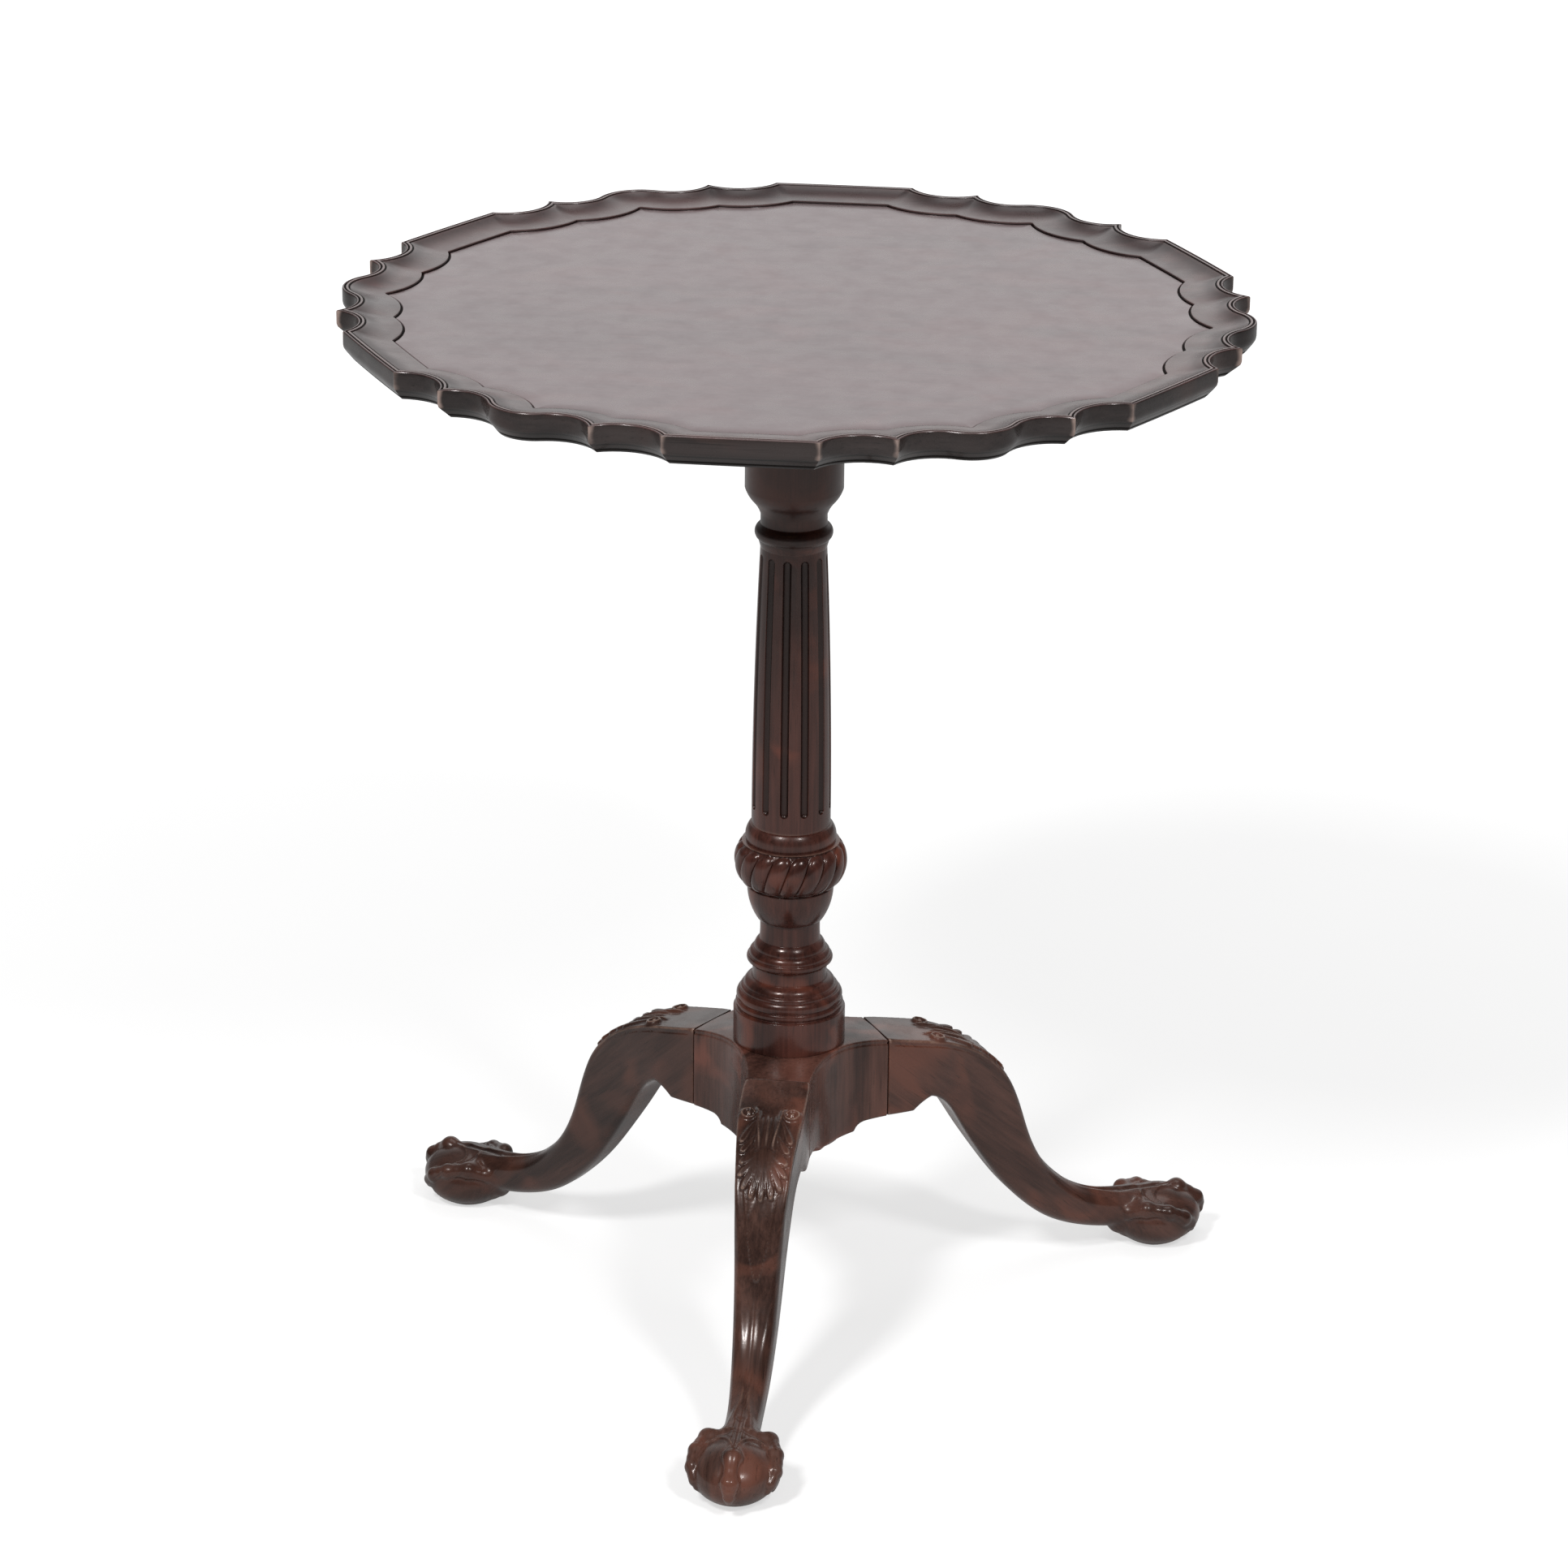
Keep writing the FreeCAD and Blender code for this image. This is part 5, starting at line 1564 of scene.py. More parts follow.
@dataclass
class KneeLeaf:
    """Acanthus leaf carved on a leg's knee, as heights over its top face.

    Lengths run from the joint down the leg, and places aside from its middle line.
    """
    depth: float = 2.9
    lobe_width: Pair = (0.45, 1.1)
    lobe_tip: float = 0.72
    lobe_rise: Pair = (0.45, 0.55)
    vein: Pair = (0.25, 0.7)
    fan: Pair = (70.0, 0.0)
    lobes: tuple[Triple, ...] = (
        (0.0, 38.0, 2.3), (11.0, 37.0, 2.3), (22.5, 33.0, 2.2), (35.0, 27.0, 2.1), (49.0, 19.0, 2.0))
    streak_start: Pair = (96.0, 0.0)
    streak: Pair = (0.42, 1.5)
    streaks: tuple[Pair, ...] = ((0.0, 34.0), (7.0, 31.0), (15.0, 26.0))
    blade: Pair = (0.9, 2.3)
    blades: tuple[Bead, ...] = (
        (44.0, 8.0, 20.0, 25.0), (60.0, 7.0, 30.0, 17.0), (70.0, 6.4, 33.0, 16.0))
    scroll: Triple = (40.0, 14.4, 5.2)
    scroll_turn: Pair = (0.86, 0.14)
    scroll_line: Pair = (0.95, 1.25)
    scroll_eye: Pair = (0.9, 2.1)
    stem: Pair = (0.85, 1.5)
    stem_place: Pair = (6.5, 0.12)
    stem_runs: tuple[Pair, Pair] = ((30.0, 38.0), (76.0, 62.0))
    rib: Pair = (0.6, 5.2)
    rib_reach: float = 6.0
    rib_runs: tuple[Pair, Pair] = ((38.0, 48.0), (78.0, 64.0))
    panel: Triple = (3.0, 32.0, 16.5)
    panel_sink: float = 0.8
    panel_edges: Pair = (1.3, 0.6)
    husk: tuple[Bead, Bead] = ((0.0, 0.0, 15.0, 2.6), (1.5, 30.0, 11.0, 2.2))
    husk_share: float = 0.9
    tip: float = 160.0
    leaf: Triple = (10.5, 58.0, 0.7)
    leaf_rim: Pair = (0.34, 0.9)
    leaf_rim_run: Pair = (88.0, 104.0)
    leaf_rise: float = 0.18
    leaf_run: Pair = (92.0, 112.0)

    def lobe(self, t: Array, y: Array, start: Pair, angle: float, length: float,
             half: float) -> Array:
        """Raises one leaf lobe with a vein.

        Args:
            t, y: length along the leg and distance aside at every place.
            start: where the lobe springs.
            angle: its lean in degrees.
            length: its length.
            half: half its width at the middle.

        Returns:
            Height from 0 to 1.
        """
        c, s = math.cos(math.radians(angle)), math.sin(math.radians(angle))
        along = (t - start[0]) * c + (y - start[1]) * s
        across = -(t - start[0]) * s + (y - start[1]) * c
        share = np.clip(along / length, 0, 1)
        tip = np.clip((share - self.lobe_tip) / (1 - self.lobe_tip), 0, 1)
        width = half * (self.lobe_width[0] + self.lobe_width[1] * share)
        width = width * np.sqrt(np.clip(1 - tip ** 2, 0, 1))
        edge = np.abs(across) / np.maximum(width, 0.05)
        body = np.sqrt(np.clip(1 - edge ** 2, 0, 1)) * ((along > 0) & (along < length))
        vein = ridge(across, self.vein[1]) * self.vein[0]
        return body * (self.lobe_rise[0] + self.lobe_rise[1] * share) * (1 - vein)

    def sunk_panel(self, t: Array, y: Array) -> Array:
        """Sinks the pointed panel behind the leaf, with a husk of three leaves standing in it.

        Args:
            t, y: length along the leg and distance aside at every place.

        Returns:
            Depth as a share of the carving's height.
        """
        start, end, half = self.panel
        slant, end_slant = self.panel_edges
        room = half * (end - t) / (end - start) - y
        sunk = smooth_step((0.0, slant), room) * smooth_step((start - end_slant, start + end_slant), t)
        husk = [self.lobe(t, y, (start + 1.0, aside), *rest) for aside, *rest in self.husk]
        return self.panel_sink * sunk * (1 - self.husk_share * np.maximum(*husk))

    def raised(self, t: Array, y: Array) -> Iterator[Array]:
        """Gives the forms that stand up on the knee.

        Args:
            t, y: length along the leg and distance aside at every place.

        Yields:
            Lobes, streaks, blades, scroll, its eye, stem and ribs, each from 0 to 1.
        """
        yield from (self.lobe(t, side, self.fan, *lobe) for lobe in self.lobes for side in (y, -y))
        share, half = self.streak
        for streak in self.streaks:
            yield share * self.lobe(t, y, self.streak_start, *streak, half)
        share, half = self.blade
        for begin, aside, *blade in self.blades:
            yield share * self.lobe(t, y, (begin, aside), *blade, half)
        ct, cy, radius = self.scroll
        far = np.hypot(t - ct, y - cy)
        turn = np.arctan2(t - ct, y - cy)
        line = far - radius * (self.scroll_turn[0] + self.scroll_turn[1] * turn / math.pi)
        yield self.scroll_line[0] * ridge(line, self.scroll_line[1])
        yield self.scroll_eye[0] * ridge(far, self.scroll_eye[1])
        rise, fall = (smooth_step(run, t) for run in self.stem_runs)
        middle = cy - self.stem_place[0] - self.stem_place[1] * (t - ct)
        yield self.stem[0] * (ridge(y - middle, self.stem[1]) * rise * fall)
        rise, fall = (smooth_step(run, t) for run in self.rib_runs)
        wave = (0.5 + 0.5 * np.cos(y / self.rib[1] * 2 * math.pi)) * rise * fall
        yield self.rib[0] * wave * (y < self.rib_reach)

    def height(self, t: Array, side: Array) -> Array:
        """Raises the whole carving.

        Args:
            t, side: length along the leg and distance aside at every place.

        Returns:
            Height over the leg's face, below zero in the panel.
        """
        y = np.abs(side)
        out = np.zeros_like(t)
        for form in self.raised(t, y):
            out = np.maximum(out, form)
        out = out - self.sunk_panel(t, y)
        wide, taper, power = self.leaf
        half = wide * np.clip((self.tip - t) / taper, 0, 1) ** power
        rim = ridge(y - half, self.leaf_rim[1]) * smooth_step(self.leaf_rim_run, t) * (t < self.tip)
        leaf = self.leaf_rise * (y < half) * smooth_step(self.leaf_run, t)
        return self.depth * np.maximum(out, np.maximum(self.leaf_rim[0] * rim, leaf))


@dataclass
class Leg:
    """Cabriole leg with a carved knee and a claw-and-ball foot, standing along +X before it is turned.

    A station gives the places of the leg's top and underside along and up, its width and its rounding,
    as shares. Talons and groove are beads of x from the ball's centre, y, z and radius.
    """
    place: LegPlace
    finish: WoodFinish
    joint: float = 64.0
    joint_top: float = 194.59
    joint_gap: float = 0.05
    joint_ease: float = 0.7
    joint_dirt: float = 0.7
    foot_reach: float = 282.0
    arm: float = 44.0
    ankle: float = 22.5
    least_corner: float = 1.4
    underside: float = 138.0
    bracket: Triple = (20.0, 9.5, 1.6)
    bracket_lap: float = 4.0
    bracket_blend: float = 0.8
    bracket_steps: int = 8
    top_side: Pair = (-2.0, 6.0)
    carved_width: Pair = (1.06, 0.93)
    knee_runs: tuple[Pair, Pair] = ((128.0, 96.0), (2.0, 8.0))
    knee_arris: float = 0.5
    knee_quirk: Triple = (0.75, 3.4, 0.85)
    tendon: Pair = (1.6, 2.4)
    tendon_run: Pair = (0.74, 0.88)
    tendon_split: Pair = (2.2, 6.0)
    split_run: Pair = (0.86, 1.0)
    valley: Pair = (0.9, 1.2)
    valley_run: Pair = (0.80, 0.90)
    shin: Pair = (0.9, 2.6)
    shin_runs: tuple[Pair, Pair] = ((0.56, 0.66), (0.84, 0.74))
    ball: Triple = (28.0, 20.0, 2.0)
    stretch: float = 2.5
    ball_shift: float = 0.6
    talons: tuple[tuple[Bead, ...], ...] = (
        ((-26, 0, 31.8, 8.2), (-10, 0, 32, 8.2), (2, 0, 32.2, 7.2), (8.5, 0, 33.4, 5.6), (16, 0, 33.8, 7.1),
         (24.8, 0, 29.6, 4.7), (30.6, 0, 23.6, 6.5), (33.2, 0, 20.2, 4.9)),
        ((33.3, 0, 18.6, 4.5), (33.2, 0, 15.8, 4.0), (32.3, 0, 13, 2.9), (31, 0, 11, 1.6)),
        ((-26, 11.5, 27, 5.2), (-21.5, 16, 29.2, 4.9), (-16.5, 20, 31.2, 5.8), (-9.5, 23, 30.2, 4.8),
         (-2.5, 25.2, 28.6, 5.7), (3.5, 26.2, 26.2, 4.7), (9, 25.8, 23, 5.6), (12.6, 24.6, 19.8, 4.6),
         (15, 23.4, 17.4, 4.9)),
        ((15.4, 23, 16, 3.8), (16.4, 21.8, 13.4, 3.1), (16.6, 20.6, 11.4, 2.0)),
        ((-17, 7, 31.6, 5.6), (-16.5, 19.5, 31, 5.5)),
        ((-27, 0, 20, 9.0), (-28, 0, 16.6, 8.6), (-22, 0, 13, 8.5), (-14, 0, 10.2, 8.0)))
    groove: tuple[Bead, ...] = (
        (-42, 0, 45.2, 2.6), (-28, 0, 42.2, 2.9), (-14, 0, 41.6, 3.0), (0, 0, 40.8, 2.8), (8, 0, 40.4, 2.0))
    web: Triple = (-7.0, 0.1, 13.0)
    web_thickness: float = 1.6
    web_slope: float = 0.8
    foot_blend: float = 4.5
    foot_box: Pair = (52.0, 60.0)
    dowel: Pair = (5.05, 36.0)
    dowel_heights: Pair = (157.0, 178.0)
    grid_margins: tuple[float, float, float, float] = (2.2, 42.0, 39.0, 5.0)
    voxel: float = 0.88
    grain_lean: Pair = (0.75, 0.66)
    grain_shift: Pair = (400.0, 300.0)
    stations: tuple[tuple[float, ...], ...] = (
        (0.000, 1.000, 0.000, 0.756, 1.00, 0.10), (0.119, 0.973, 0.137, 0.756, 1.00, 0.12),
        (0.220, 0.945, 0.200, 0.723, 0.87, 0.16), (0.318, 0.891, 0.242, 0.666, 0.70, 0.20),
        (0.410, 0.795, 0.287, 0.581, 0.55, 0.26), (0.478, 0.649, 0.362, 0.451, 0.40, 0.34),
        (0.519, 0.515, 0.437, 0.335, 0.31, 0.42), (0.584, 0.383, 0.521, 0.236, 0.22, 0.60),
        (0.700, 0.265, 0.632, 0.147, 0.09, 0.76), (0.820, 0.215, 0.785, 0.089, 0.00, 0.88),
        (0.930, 0.206, 0.920, 0.069, 0.08, 0.94))
    station_steps: int = 12

    def curve(self) -> Array:
        """Joins the stations by a smooth curve.

        Returns:
            Rows of top x and z, underside x and z, half width and corner radius.
        """
        span = self.foot_reach - self.joint
        rows = []
        for top_x, top_z, low_x, low_z, wide, rounding in self.stations:
            half = (self.ankle + (self.arm - self.ankle) * wide) / 2
            ax, az = self.joint + span * top_x, self.joint_top * top_z
            bx, bz = self.joint + span * low_x, self.joint_top * low_z
            rows.append((ax, az, bx, bz, half, rounding * min(half, math.hypot(ax - bx, az - bz) / 2)))
        table = np.array(rows)
        return self.spline(lengths((table[:, 0:2] + table[:, 2:4]) / 2), table)

    def spline(self, knots: Array, table: Array) -> Array:
        """Runs a natural cubic spline through the rows of a table.

        Args:
            knots: length along the curve at each row.
            table: the rows.

        Returns:
            The finer table.
        """
        n = len(knots)
        gap = np.diff(knots)
        system = np.zeros((n, n))
        right = np.zeros_like(table)
        system[0, 0] = system[-1, -1] = 1
        for k in range(1, n - 1):
            system[k, k - 1:k + 2] = gap[k - 1], 2 * (gap[k - 1] + gap[k]), gap[k]
            right[k] = 6 * ((table[k + 1] - table[k]) / gap[k] - (table[k] - table[k - 1]) / gap[k - 1])
        bend = np.linalg.solve(system, right)
        out = [table[0]]
        for k in range(n - 1):
            for j in range(1, self.station_steps + 1):
                b = j / self.station_steps
                a = 1 - b
                out.append(a * table[k] + b * table[k + 1]
                           + ((a ** 3 - a) * bend[k] + (b ** 3 - b) * bend[k + 1]) * gap[k] ** 2 / 6)
        return np.array(out)

    def side_view(self, px: Array, pz: Array, top: Array, low: Array) -> Array:
        """Field of the leg and its bracket seen from the side.

        Args:
            px, pz: place along the leg and height.
            top, low: points of its top and underside.

        Returns:
            The field.
        """
        flat = area_distance(px, pz, np.concatenate([top, low[::-1]]))
        length, depth, hollow = self.bracket
        toe, high, lap = self.joint + length, self.underside + depth, self.bracket_lap
        bracket = [(self.joint, high + lap), (self.joint, self.underside), (toe, self.underside)]
        bracket += bow(bracket[-1], (toe + length, high), -hollow, self.bracket_steps)
        bracket.append((toe + length - lap, high + lap))
        return soft_min(flat, area_distance(px, pz, np.array(bracket)), self.bracket_blend)

    def sinews(self, side: Array, share: Array) -> Array:
        """Height of the tendons above the claw and of the ridge on the shin.

        Args:
            side: distance from the middle line.
            share: place along the leg's top, from 0 to 1.

        Returns:
            The height.
        """
        split = self.tendon_split[0] + self.tendon_split[1] * smooth_step(self.split_run, share)
        tendon = self.tendon[0] * ridge(side - split, self.tendon[1])
        tendon = tendon * smooth_step(self.tendon_run, share)
        valley = self.valley[0] * ridge(side, self.valley[1]) * smooth_step(self.valley_run, share)
        rise, fall = (smooth_step(run, share) for run in self.shin_runs)
        shin = self.shin[0] * ridge(side, self.shin[1]) * rise * fall
        return tendon - valley + shin

    def limb(self, x: Array, y: Array, z: Array) -> Array:
        """Field of the leg without its foot, with the knee's carving and the tendons above the claw.

        Args:
            x, y, z: grid places along the leg, aside and up.

        Returns:
            The field on the grid.
        """
        curve = self.curve()
        px, pz = np.meshgrid(x, z, indexing="ij")
        top, low = curve[:, 0:2], curve[:, 2:4]
        flat = self.side_view(px, pz, top, low)[:, None, :]
        middle = (top + low) / 2
        _, run = line_distance(px, pz, middle)
        reach = lengths(middle)
        half = np.interp(run, reach, curve[:, 4])[:, None, :]
        corner = np.maximum(np.interp(run, reach, curve[:, 5]), self.least_corner)[:, None, :]
        near_top, along = (part[:, None, :] for part in line_distance(px, pz, top))
        near_low = line_distance(px, pz, low)[0][:, None, :]
        on_top = smooth_step(self.top_side, near_low - near_top)
        side = np.abs(y)[None, :, None]
        whole = (len(x), len(y), len(z))
        lift = KneeLeaf().height(np.broadcast_to(along, whole), np.broadcast_to(side, whole))
        lift = lift * on_top * smooth_step(self.carved_width, side / half)
        knee = smooth_step(self.knee_runs[0], along) * smooth_step(self.knee_runs[1], along)
        corner = corner * (1 - self.knee_arris * on_top * knee)
        sunk, drop, spread = self.knee_quirk
        half = half - sunk * ridge(near_top - drop, spread) * knee
        total = float(np.linalg.norm(np.diff(top, axis=0), axis=1).sum())
        lift = lift + self.sinews(side, along / total) * on_top
        across = side - half + corner
        deep = flat + corner - lift
        body = np.hypot(np.maximum(deep, 0), np.maximum(across, 0)) - corner
        body = np.minimum(np.maximum(deep, across), 0) + body
        return soft_max(body, (self.joint + self.joint_gap - x)[:, None, None], self.joint_ease)

    def claw(self, place: Place) -> Array:
        """Field of the ball, its talons with knuckles and nails, and the web above them.

        Args:
            place: coordinates of every place.

        Returns:
            The field.
        """
        x, y, z = place
        wide, tall, sink = self.ball
        cx, cz = self.foot_reach, tall - sink
        deep = wide + self.stretch
        ex, ey, ez = (x - cx - self.ball_shift * self.stretch) / deep, y / wide, (z - cz) / tall
        far = np.sqrt(ex ** 2 + ey ** 2 + ez ** 2)
        steep = np.sqrt((ex / deep) ** 2 + (ey / wide) ** 2 + (ez / tall) ** 2)
        ball = far * (far - 1) / np.maximum(steep, 1e-4)
        front, front_nail, flank, flank_nail, shoulder, rear = (self.beads(limb) for limb in self.talons)
        start, bend, middle = self.web
        opening = start + bend * (y - middle) ** 2
        web = soft_max(ball - self.web_thickness, self.web_slope * (x - cx - opening), 1.0)
        out = bead_chain(place, front, 1.2)
        for limb, blend in ((flank, 2.0), (shoulder, 3.0), (rear, 3.0)):
            out = soft_min(out, bead_chain(place, limb, 1.0), blend)
        out = soft_min(out, web, 1.6)
        for nail in (front_nail, flank_nail):
            out = np.minimum(out, bead_chain(place, nail, 0.8))
        return soft_min(out, ball, 0.8)

    def beads(self, limb: Sequence[Bead]) -> list[Bead]:
        """Beads of a limb moved from the ball's centre to their place on the leg."""
        return [(self.foot_reach + x, y, z, size) for x, y, z, size in limb]

    def carve(self) -> Skin:
        """Carves the whole leg along +X.

        Returns:
            Points and quads.
        """
        h = self.voxel
        behind, ahead, aside, above = self.grid_margins
        x = np.arange(self.joint - behind, self.foot_reach + ahead, h, dtype=np.float32)
        y = np.arange(0, aside, h, dtype=np.float32)
        z = np.arange(-behind * h, self.joint_top + above, h, dtype=np.float32)
        grid = self.limb(x, y, z)
        first = int(np.searchsorted(x, self.foot_reach - self.foot_box[0]))
        last = int(np.searchsorted(z, self.foot_box[1]))
        place = tuple(np.meshgrid(x[first:], y, z[:last], indexing="ij"))
        foot = soft_min(grid[first:, :, :last], self.claw(place), self.foot_blend)
        cut = bead_chain(place, self.beads(self.groove), 1.0)
        grid[first:, :, :last] = soft_max(foot, -cut, 1.0)
        grid = np.maximum(grid, -z[None, None, :])
        for height in self.dowel_heights:
            hole = np.maximum(np.hypot(y[None, :, None], z[None, None, :] - height) - self.dowel[0],
                              x[:, None, None] - self.joint - self.dowel[1] / 2)
            grid = np.maximum(grid, -hole)
        whole = np.concatenate([grid[:, :0:-1, :], grid], axis=1)
        return skin_field(whole, (x[0], -y[-1], z[0]), h)

    def build(self, skin: Skin) -> None:
        """Turns the carved skin to the leg's place and dresses it.

        Args:
            skin: points and quads along +X, as carve gives them.
        """
        (x, y, z), faces = skin[0].T, skin[1]
        node = "leg_" + self.place.name.lower()
        turn = math.radians(self.place.value)
        c, s = math.cos(turn), math.sin(turn)
        made = make_piece(node + "_carved", np.stack([x * c - y * s, x * s + y * c, z], 1), faces, 65.0)
        (run, rise), (aside, up) = self.grain_lean, self.grain_shift
        along = np.stack([run * x - rise * z, y + aside * c, rise * x + run * z + up * s], 1) * MM
        layer = made.data.attributes.new(Grain.ATTRIBUTE.value, "FLOAT_VECTOR", "POINT")
        layer.data.foreach_set("vector", along.astype(np.float32).ravel())
        note_edges(made, 3)
        darken_points(made, x < self.joint + self.joint_dirt)
        hand_over(made, self.finish, Body.BASE, node)


@dataclass
class SlottedScrew:
    """Countersunk screw with a sawn slot; its head faces -Z and it points along +Z."""
    shank: float
    head: float
    length: float
    slot: float = 0.22
    slot_depth: Pair = (0.35, 0.5)
    slot_taper: float = 0.3
    point: float = 0.2
    steps: int = 24

    def mesh(self) -> MeshData:
        """Makes one closed screw.

        Returns:
            Points and faces.
        """
        sink = self.head - self.shank
        deep = self.slot_depth[0] * sink + self.slot_depth[1]
        lean = math.asin(self.slot)
        right = np.linspace(-math.pi / 2 + lean, math.pi / 2 - lean, self.steps // 2)
        angles = np.concatenate([right, right + math.pi])
        n = len(angles)
        plan = np.stack([np.cos(angles), np.sin(angles)], 1)
        rows = [(self.head, 0.0), (self.head - self.slot_taper * deep, deep),
                (self.shank, max(sink, deep + 0.1)),
                (self.shank, self.length - self.shank), (self.point * self.shank, self.length)]
        points = np.concatenate([np.column_stack([plan * r, np.full(n, z)]) for r, z in rows])
        faces: list[list[int]] = []
        m = n // 2
        for r in range(len(rows) - 1):
            for k in range(n):
                if r == 0 and k in (m - 1, n - 1):
                    continue
                a, b = r * n + k, r * n + (k + 1) % n
                faces.append([a, b, b + n, a + n])
        faces.append([(len(rows) - 1) * n + k for k in range(n)])
        for base in (0, m):
            faces.append([base + k for k in reversed(range(m))])
            faces.append([base + m - 1, base, base + n, base + m - 1 + n])
        faces.append([n, n + n - 1, n + m, n + m - 1])
        return points, faces


@dataclass
class Hardware:
    """Slotted screws, and the solids under the top that keep their CAD form."""
    underside: float = 691.5
    grip: float = 10.0
    bite: float = 7.0
    bearer_x: float = 73.5
    pivot_y: float = 42.0
    pitch: float = 80.0
    bearer_rows: tuple[float, ...] = (-2.5, -1.5, -0.5, 0.5, 1.5)
    block_front: float = 58.0
    strike_spot: Pair = (12.0, 682.7)
    flange: float = 2.0
    catch_x: float = 16.0
    catch_rows: Pair = (-65.8, -102.2)
    bearer_ease: float = 1.0
    block_ease: float = 0.9
    eased_from: float = 40.0
    seed: int = 7

    def screws(self, trees: NodeTrees, node: str, screw: SlottedScrew, places: Sequence[Triple],
               finish: Finish, body: Body, turned: bool = False) -> None:
        """Sets one kind of screw on its places and lets it stand for the CAD node.

        Args:
            trees: the trees for what repeats.
            node: the CAD node.
            screw: the screw's sizes.
            places: middle of each head.
            finish: the screws' surface.
            body: the body that they ride on.
            turned: true for screws that point along +Y instead of +Z.
        """
        name = node.removesuffix("s") + "_set"
        points, faces = screw.mesh()
        if turned:
            points = np.stack([points[:, 0], points[:, 2], -points[:, 1]], 1)
        pattern = make_piece(name + "_pattern", points, faces, 30.0)
        bm = bmesh.new()
        bm.from_mesh(pattern.data)
        bmesh.ops.recalc_face_normals(bm, faces=bm.faces)
        bm.to_mesh(pattern.data)
        bm.free()
        carrier = make_piece(name + "_places", np.array(places, float), [])
        made = NodeTrees.bake(carrier, trees.field, name, {
            "Fastener": pattern, "Axis": (0.0, 1.0, 0.0) if turned else (0.0, 0.0, 1.0), "Seed": self.seed,
            "Material": finish.material()})
        bpy.data.objects.remove(pattern)
        hand_over(made, finish, body, node)

    def eased(self, node: str, width: float, finish: Finish, body: Body) -> None:
        """Copies a CAD solid with its sharp edges eased by a bevel.

        Args:
            node: the CAD node.
            width: width of the bevel.
            finish: the copy's surface.
            body: the body that it rides on.
        """
        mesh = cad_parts[node].data.copy()
        bm = bmesh.new()
        bm.from_mesh(mesh)
        bmesh.ops.remove_doubles(bm, verts=bm.verts, dist=1e-6)
        bmesh.ops.dissolve_limit(bm, angle_limit=math.radians(1.0), verts=bm.verts, edges=bm.edges)
        bm.to_mesh(mesh)
        bm.free()
        carrier = link_object(node + "_plain", mesh)
        bevel = carrier.modifiers.new("ease", "BEVEL")
        bevel.width = width * MM
        bevel.segments = 2
        bevel.limit_method = "ANGLE"
        bevel.angle_limit = math.radians(self.eased_from)
        made = bake_modifiers(carrier, node + "_eased")
        smooth_mesh(made.data, 50.0)
        hand_over(made, finish, body, node)

    def build(self, trees: NodeTrees) -> None:
        """Sets the screws, eases the wooden solids and dresses the remaining CAD nodes.

        Args:
            trees: the trees for what repeats.
        """
        sides = (-1, 1)
        rows = [self.pivot_y + self.pitch * k for k in self.bearer_rows]
        places = [(s * self.bearer_x, y, self.underside - self.grip) for s in sides for y in rows]
        large, small = SlottedScrew(2.2, 4.2, self.grip + self.bite), SlottedScrew(1.4, 2.8, 9.0)
        self.screws(trees, "bearer_screws", large, places, IRON, Body.TOP)
        places = [(s * self.catch_x, y, self.underside - self.flange) for s in sides for y in self.catch_rows]
        self.screws(trees, "catch_screws", small, places, BRASS, Body.TOP)
        x, z = self.strike_spot
        places = [(s * x, -self.block_front, z) for s in sides]
        self.screws(trees, "strike_screws", small, places, BRASS, Body.BASE, turned=True)
        for node in ("bearer_left", "bearer_right"):
            self.eased(node, self.bearer_ease, INNER_WOOD, Body.TOP)
        self.eased("pivot_block", self.block_ease, BLOCK_WOOD, Body.BASE)
        shown = {"leg_dowels": BLOCK_WOOD, "tenon_wedge": BLOCK_WOOD, "pivot_pins": IRON,
                 "strike_plate": BRASS, "catch_case": BRASS, "catch_spring": STEEL, "catch_bolt": BRASS,
                 "catch_knob": BRASS}
        for node, finish in shown.items():
            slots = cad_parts[node].data.materials
            slots.clear()
            slots.append(finish.material())
            log.info("%s: CAD node with %s", node, finish.name)


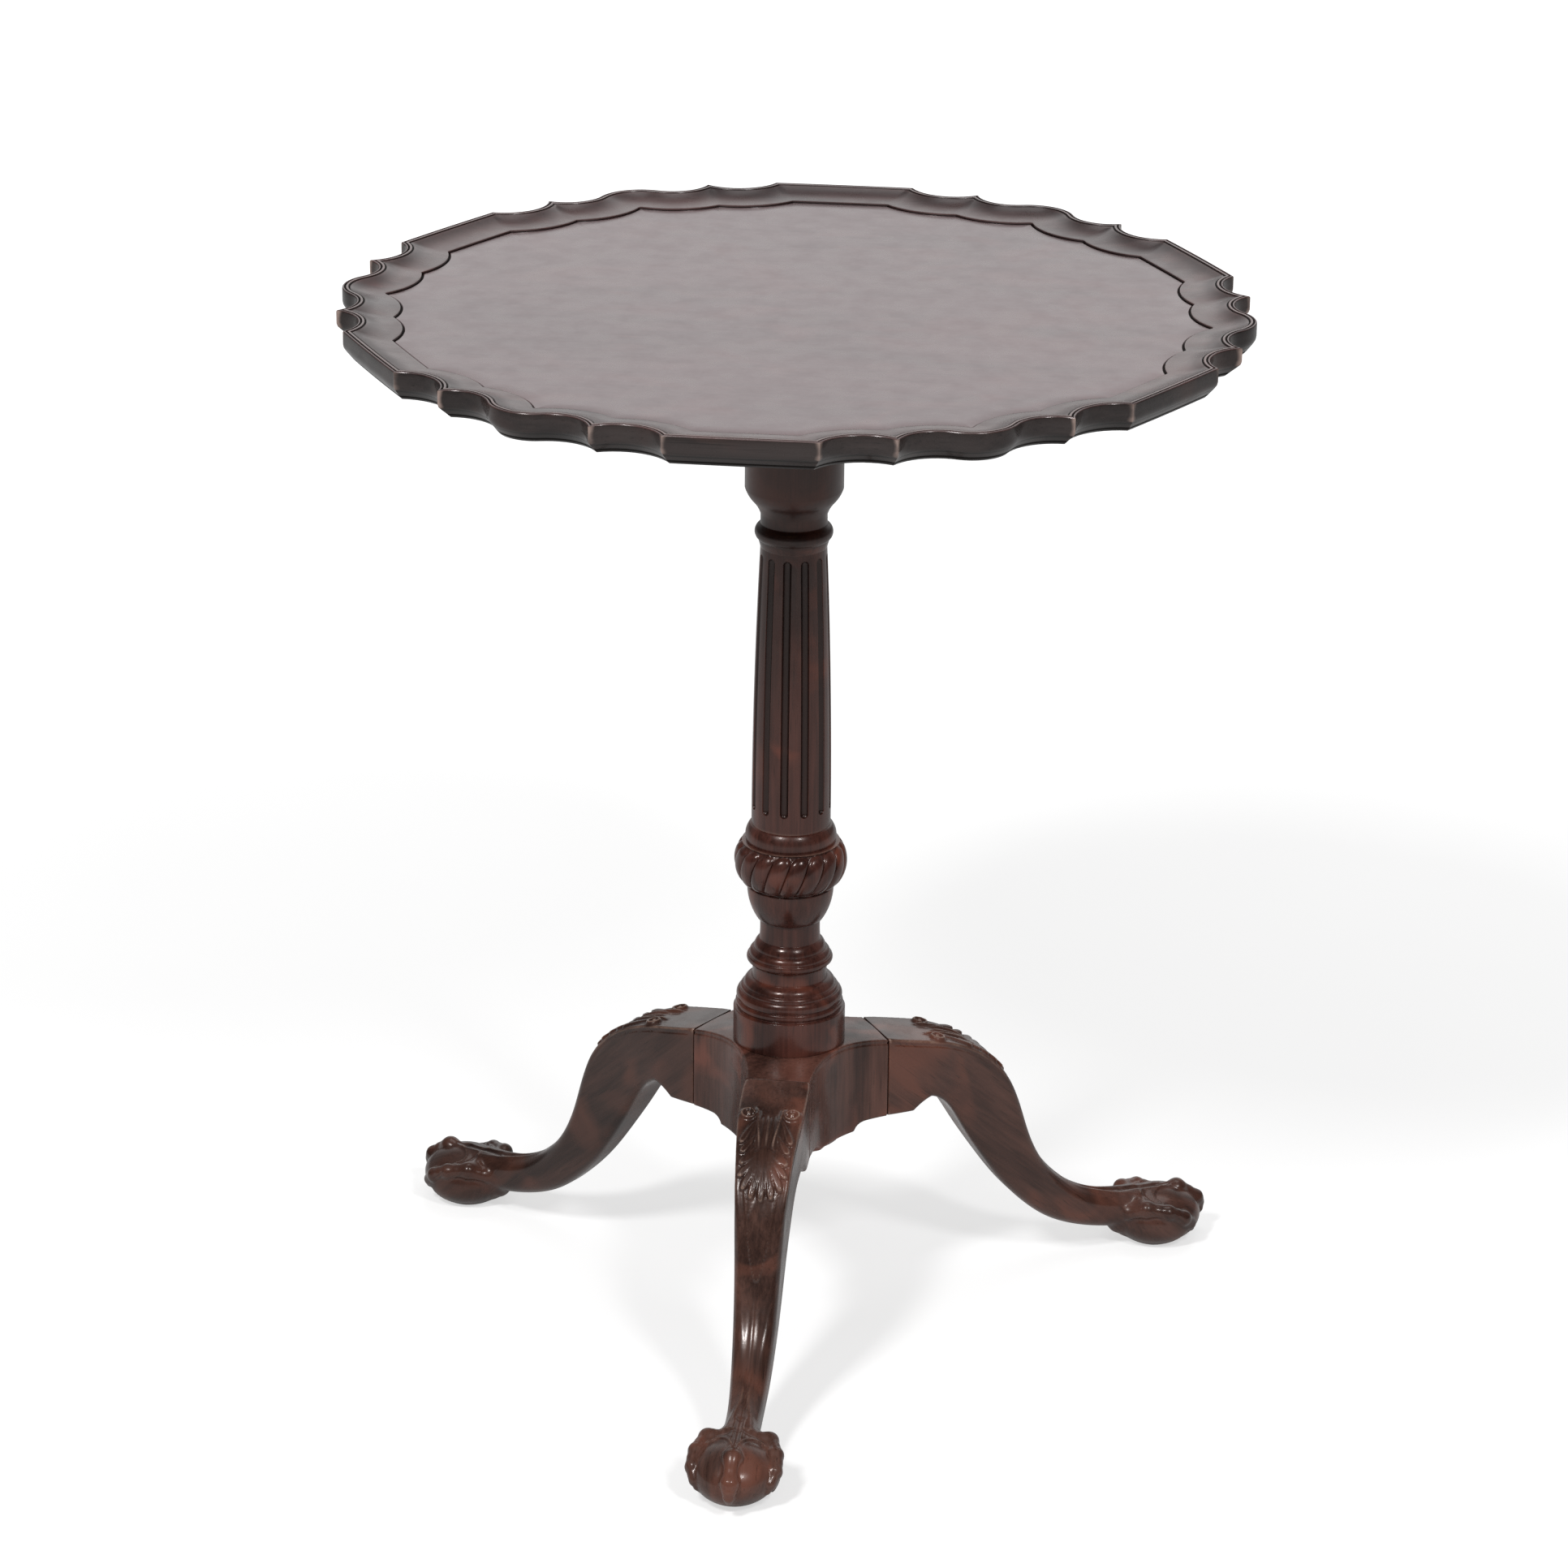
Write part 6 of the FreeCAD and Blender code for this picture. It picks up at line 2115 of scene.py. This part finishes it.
@dataclass
class Studio:
    """Pale floor, soft lamps, white surroundings and the photograph's camera; lengths are in metres."""
    image: int = 1932
    focal: float = 7162.7
    sensor: float = 36.0
    spot: Triple = (0.4006, -3.5683, 1.7602)
    aim: Triple = (0.0, 0.0, 0.3554)
    roll: float = 0.577
    shift: Pair = (-0.0045, 0.0226)
    floor_half: float = 40.0
    floor_tones: Pair = (0.62, 0.66)
    floor_run: Pair = (0.5, 3.0)
    floor_lift: Pair = (0.6, 1.0)
    floor_mirrored: float = 0.25
    backdrop: tuple[tuple[str, Pair, Pair], ...] = (
        ("Y", (0.0, 0.7), (0.10, 1.0)), ("X", (0.2, 0.65), (1.0, 0.25)), ("Z", (0.0, 0.22), (0.3, 1.0)),
        ("Z", (0.46, 0.72), (1.0, 0.2)))
    ceiling: tuple[Pair, Pair] = ((0.6, 0.95), (0.0, 0.25))
    ambient: float = 0.22
    lamp_aim: Triple = (0.0, 0.0, 0.4)
    lamps: tuple[tuple[str, Triple, Pair, float], ...] = (
        ("key", (-1.2, -2.35, 3.2), (0.45, 0.7), 64.0),
        ("fill", (1.6, -2.3, 3.0), (0.35, 0.7), 37.0),
        ("overhead", (0.2, 0.8, 3.2), (1.8, 1.8), 15.0))

    def camera(self) -> None:
        """Sets the camera where the photograph was taken from."""
        data = bpy.data.cameras.new("photo_camera")
        data.sensor_width = self.sensor
        data.lens = self.sensor * self.focal / self.image
        data.shift_x, data.shift_y = self.shift
        back = (Vector(self.spot) - Vector(self.aim)).normalized()
        right = Vector((0, 0, 1)).cross(back).normalized()
        up = back.cross(right)
        c, s = math.cos(math.radians(self.roll)), math.sin(math.radians(self.roll))
        axes = Matrix((right * c + up * s, up * c - right * s, back)).transposed().to_4x4()
        made = link_object("photo_camera", data)
        made.matrix_world = Matrix.Translation(self.spot) @ axes
        bpy.context.scene.camera = made

    def floor(self) -> None:
        """Lays a large pale floor that keeps the table's shadow."""
        mesh = bpy.data.meshes.new("studio_floor")
        far = self.floor_half
        corners = [(-far, -far, 0), (far, -far, 0), (far, far, 0), (-far, far, 0)]
        mesh.from_pydata(corners, [], [[0, 1, 2, 3]])
        made = link_object("studio_floor", mesh)
        paint = bpy.data.materials.new("pale_floor")
        paint.use_nodes = True
        sheet = NodeSheet(paint.node_tree)
        mottle = sheet.noise(sheet.coordinates(Grain.OBJECT), scale=3.0, detail=3.0, rough=0.5)
        tone = sheet.mix(mottle, *((grey, grey, grey) for grey in self.floor_tones))
        matt = sheet.add("ShaderNodeBsdfDiffuse", Color=tone)
        away = sheet.add("ShaderNodeVectorMath", Vector=sheet.coordinates(Grain.OBJECT))
        away.operation = "LENGTH"
        lift = sheet.span(away.outputs["Value"], self.floor_run, self.floor_lift)
        path = sheet.add("ShaderNodeLightPath").outputs
        mirrored = sheet.product(path["Is Glossy Ray"], self.floor_mirrored)
        seen = sheet.math("MAXIMUM", path["Is Camera Ray"], mirrored)
        seen = sheet.math("MAXIMUM", seen, path["Is Transmission Ray"])
        glow = sheet.add("ShaderNodeEmission", Strength=sheet.product(seen, lift))
        both = sheet.add("ShaderNodeAddShader")
        sheet.put(both.inputs[0], matt.outputs[0])
        sheet.put(both.inputs[1], glow.outputs[0])
        sheet.add("ShaderNodeOutputMaterial", Surface=both.outputs[0])
        mesh.materials.append(paint)

    def world(self) -> None:
        """White surroundings behind the table, a dimmer room in front and an even ambient light."""
        made = bpy.data.worlds.new("studio_world")
        made.use_nodes = True
        bpy.context.scene.world = made
        sheet = NodeSheet(made.node_tree)
        path = sheet.add("ShaderNodeLightPath").outputs
        direction = sheet.add("ShaderNodeTexCoord").outputs["Generated"]
        split = sheet.add("ShaderNodeSeparateXYZ", Vector=direction).outputs
        back: object = 1.0
        for axis, source, target in self.backdrop:
            value = sheet.math("ABSOLUTE", split[axis]) if axis == "X" else split[axis]
            back = sheet.product(back, sheet.span(value, source, target))
        room = sheet.math("MAXIMUM", back, sheet.span(split["Z"], *self.ceiling))
        mirrored = sheet.product(path["Is Glossy Ray"], room)
        seen = sheet.math("MAXIMUM", path["Is Camera Ray"], path["Is Transmission Ray"])
        dull = sheet.product(path["Is Diffuse Ray"], self.ambient)
        light = sheet.math("MAXIMUM", sheet.math("MAXIMUM", seen, mirrored), dull)
        sky = sheet.add("ShaderNodeBackground", Color=(1.0, 1.0, 1.0, 1.0), Strength=light)
        sheet.add("ShaderNodeOutputWorld", Surface=sky.outputs[0])

    def build(self) -> None:
        """Sets up camera, floor, surroundings and lamps."""
        bpy.context.scene.view_settings.view_transform = "Standard"
        self.camera()
        self.floor()
        self.world()
        for name, place, size, power in self.lamps:
            data = bpy.data.lights.new(name, "AREA")
            data.shape = "RECTANGLE"
            data.size, data.size_y = size
            data.energy = power
            turn = (Vector(self.lamp_aim) - Vector(place)).to_track_quat("-Z", "Y").to_matrix().to_4x4()
            link_object(name, data).matrix_world = Matrix.Translation(place) @ turn
        log.info("studio ready with %d lamps", len(self.lamps))


def main() -> None:
    """Builds the studio and the table's pieces in order."""
    logging.basicConfig(level=logging.INFO, format="%(name)s %(message)s")
    Studio().build()
    trees = NodeTrees()
    TrayTop().build(trees)
    Pillar().build(trees)
    HubBlock().build()
    legs = [Leg(LegPlace.FRONT, FRONT_LEG_WOOD), Leg(LegPlace.RIGHT, RIGHT_LEG_SHADED_WOOD),
            Leg(LegPlace.LEFT, LEFT_LEG_SHADED_WOOD)]
    skin = legs[0].carve()
    for leg in legs:
        leg.build(skin)
    Hardware().build(trees)


if __name__ == "__main__":
    main()
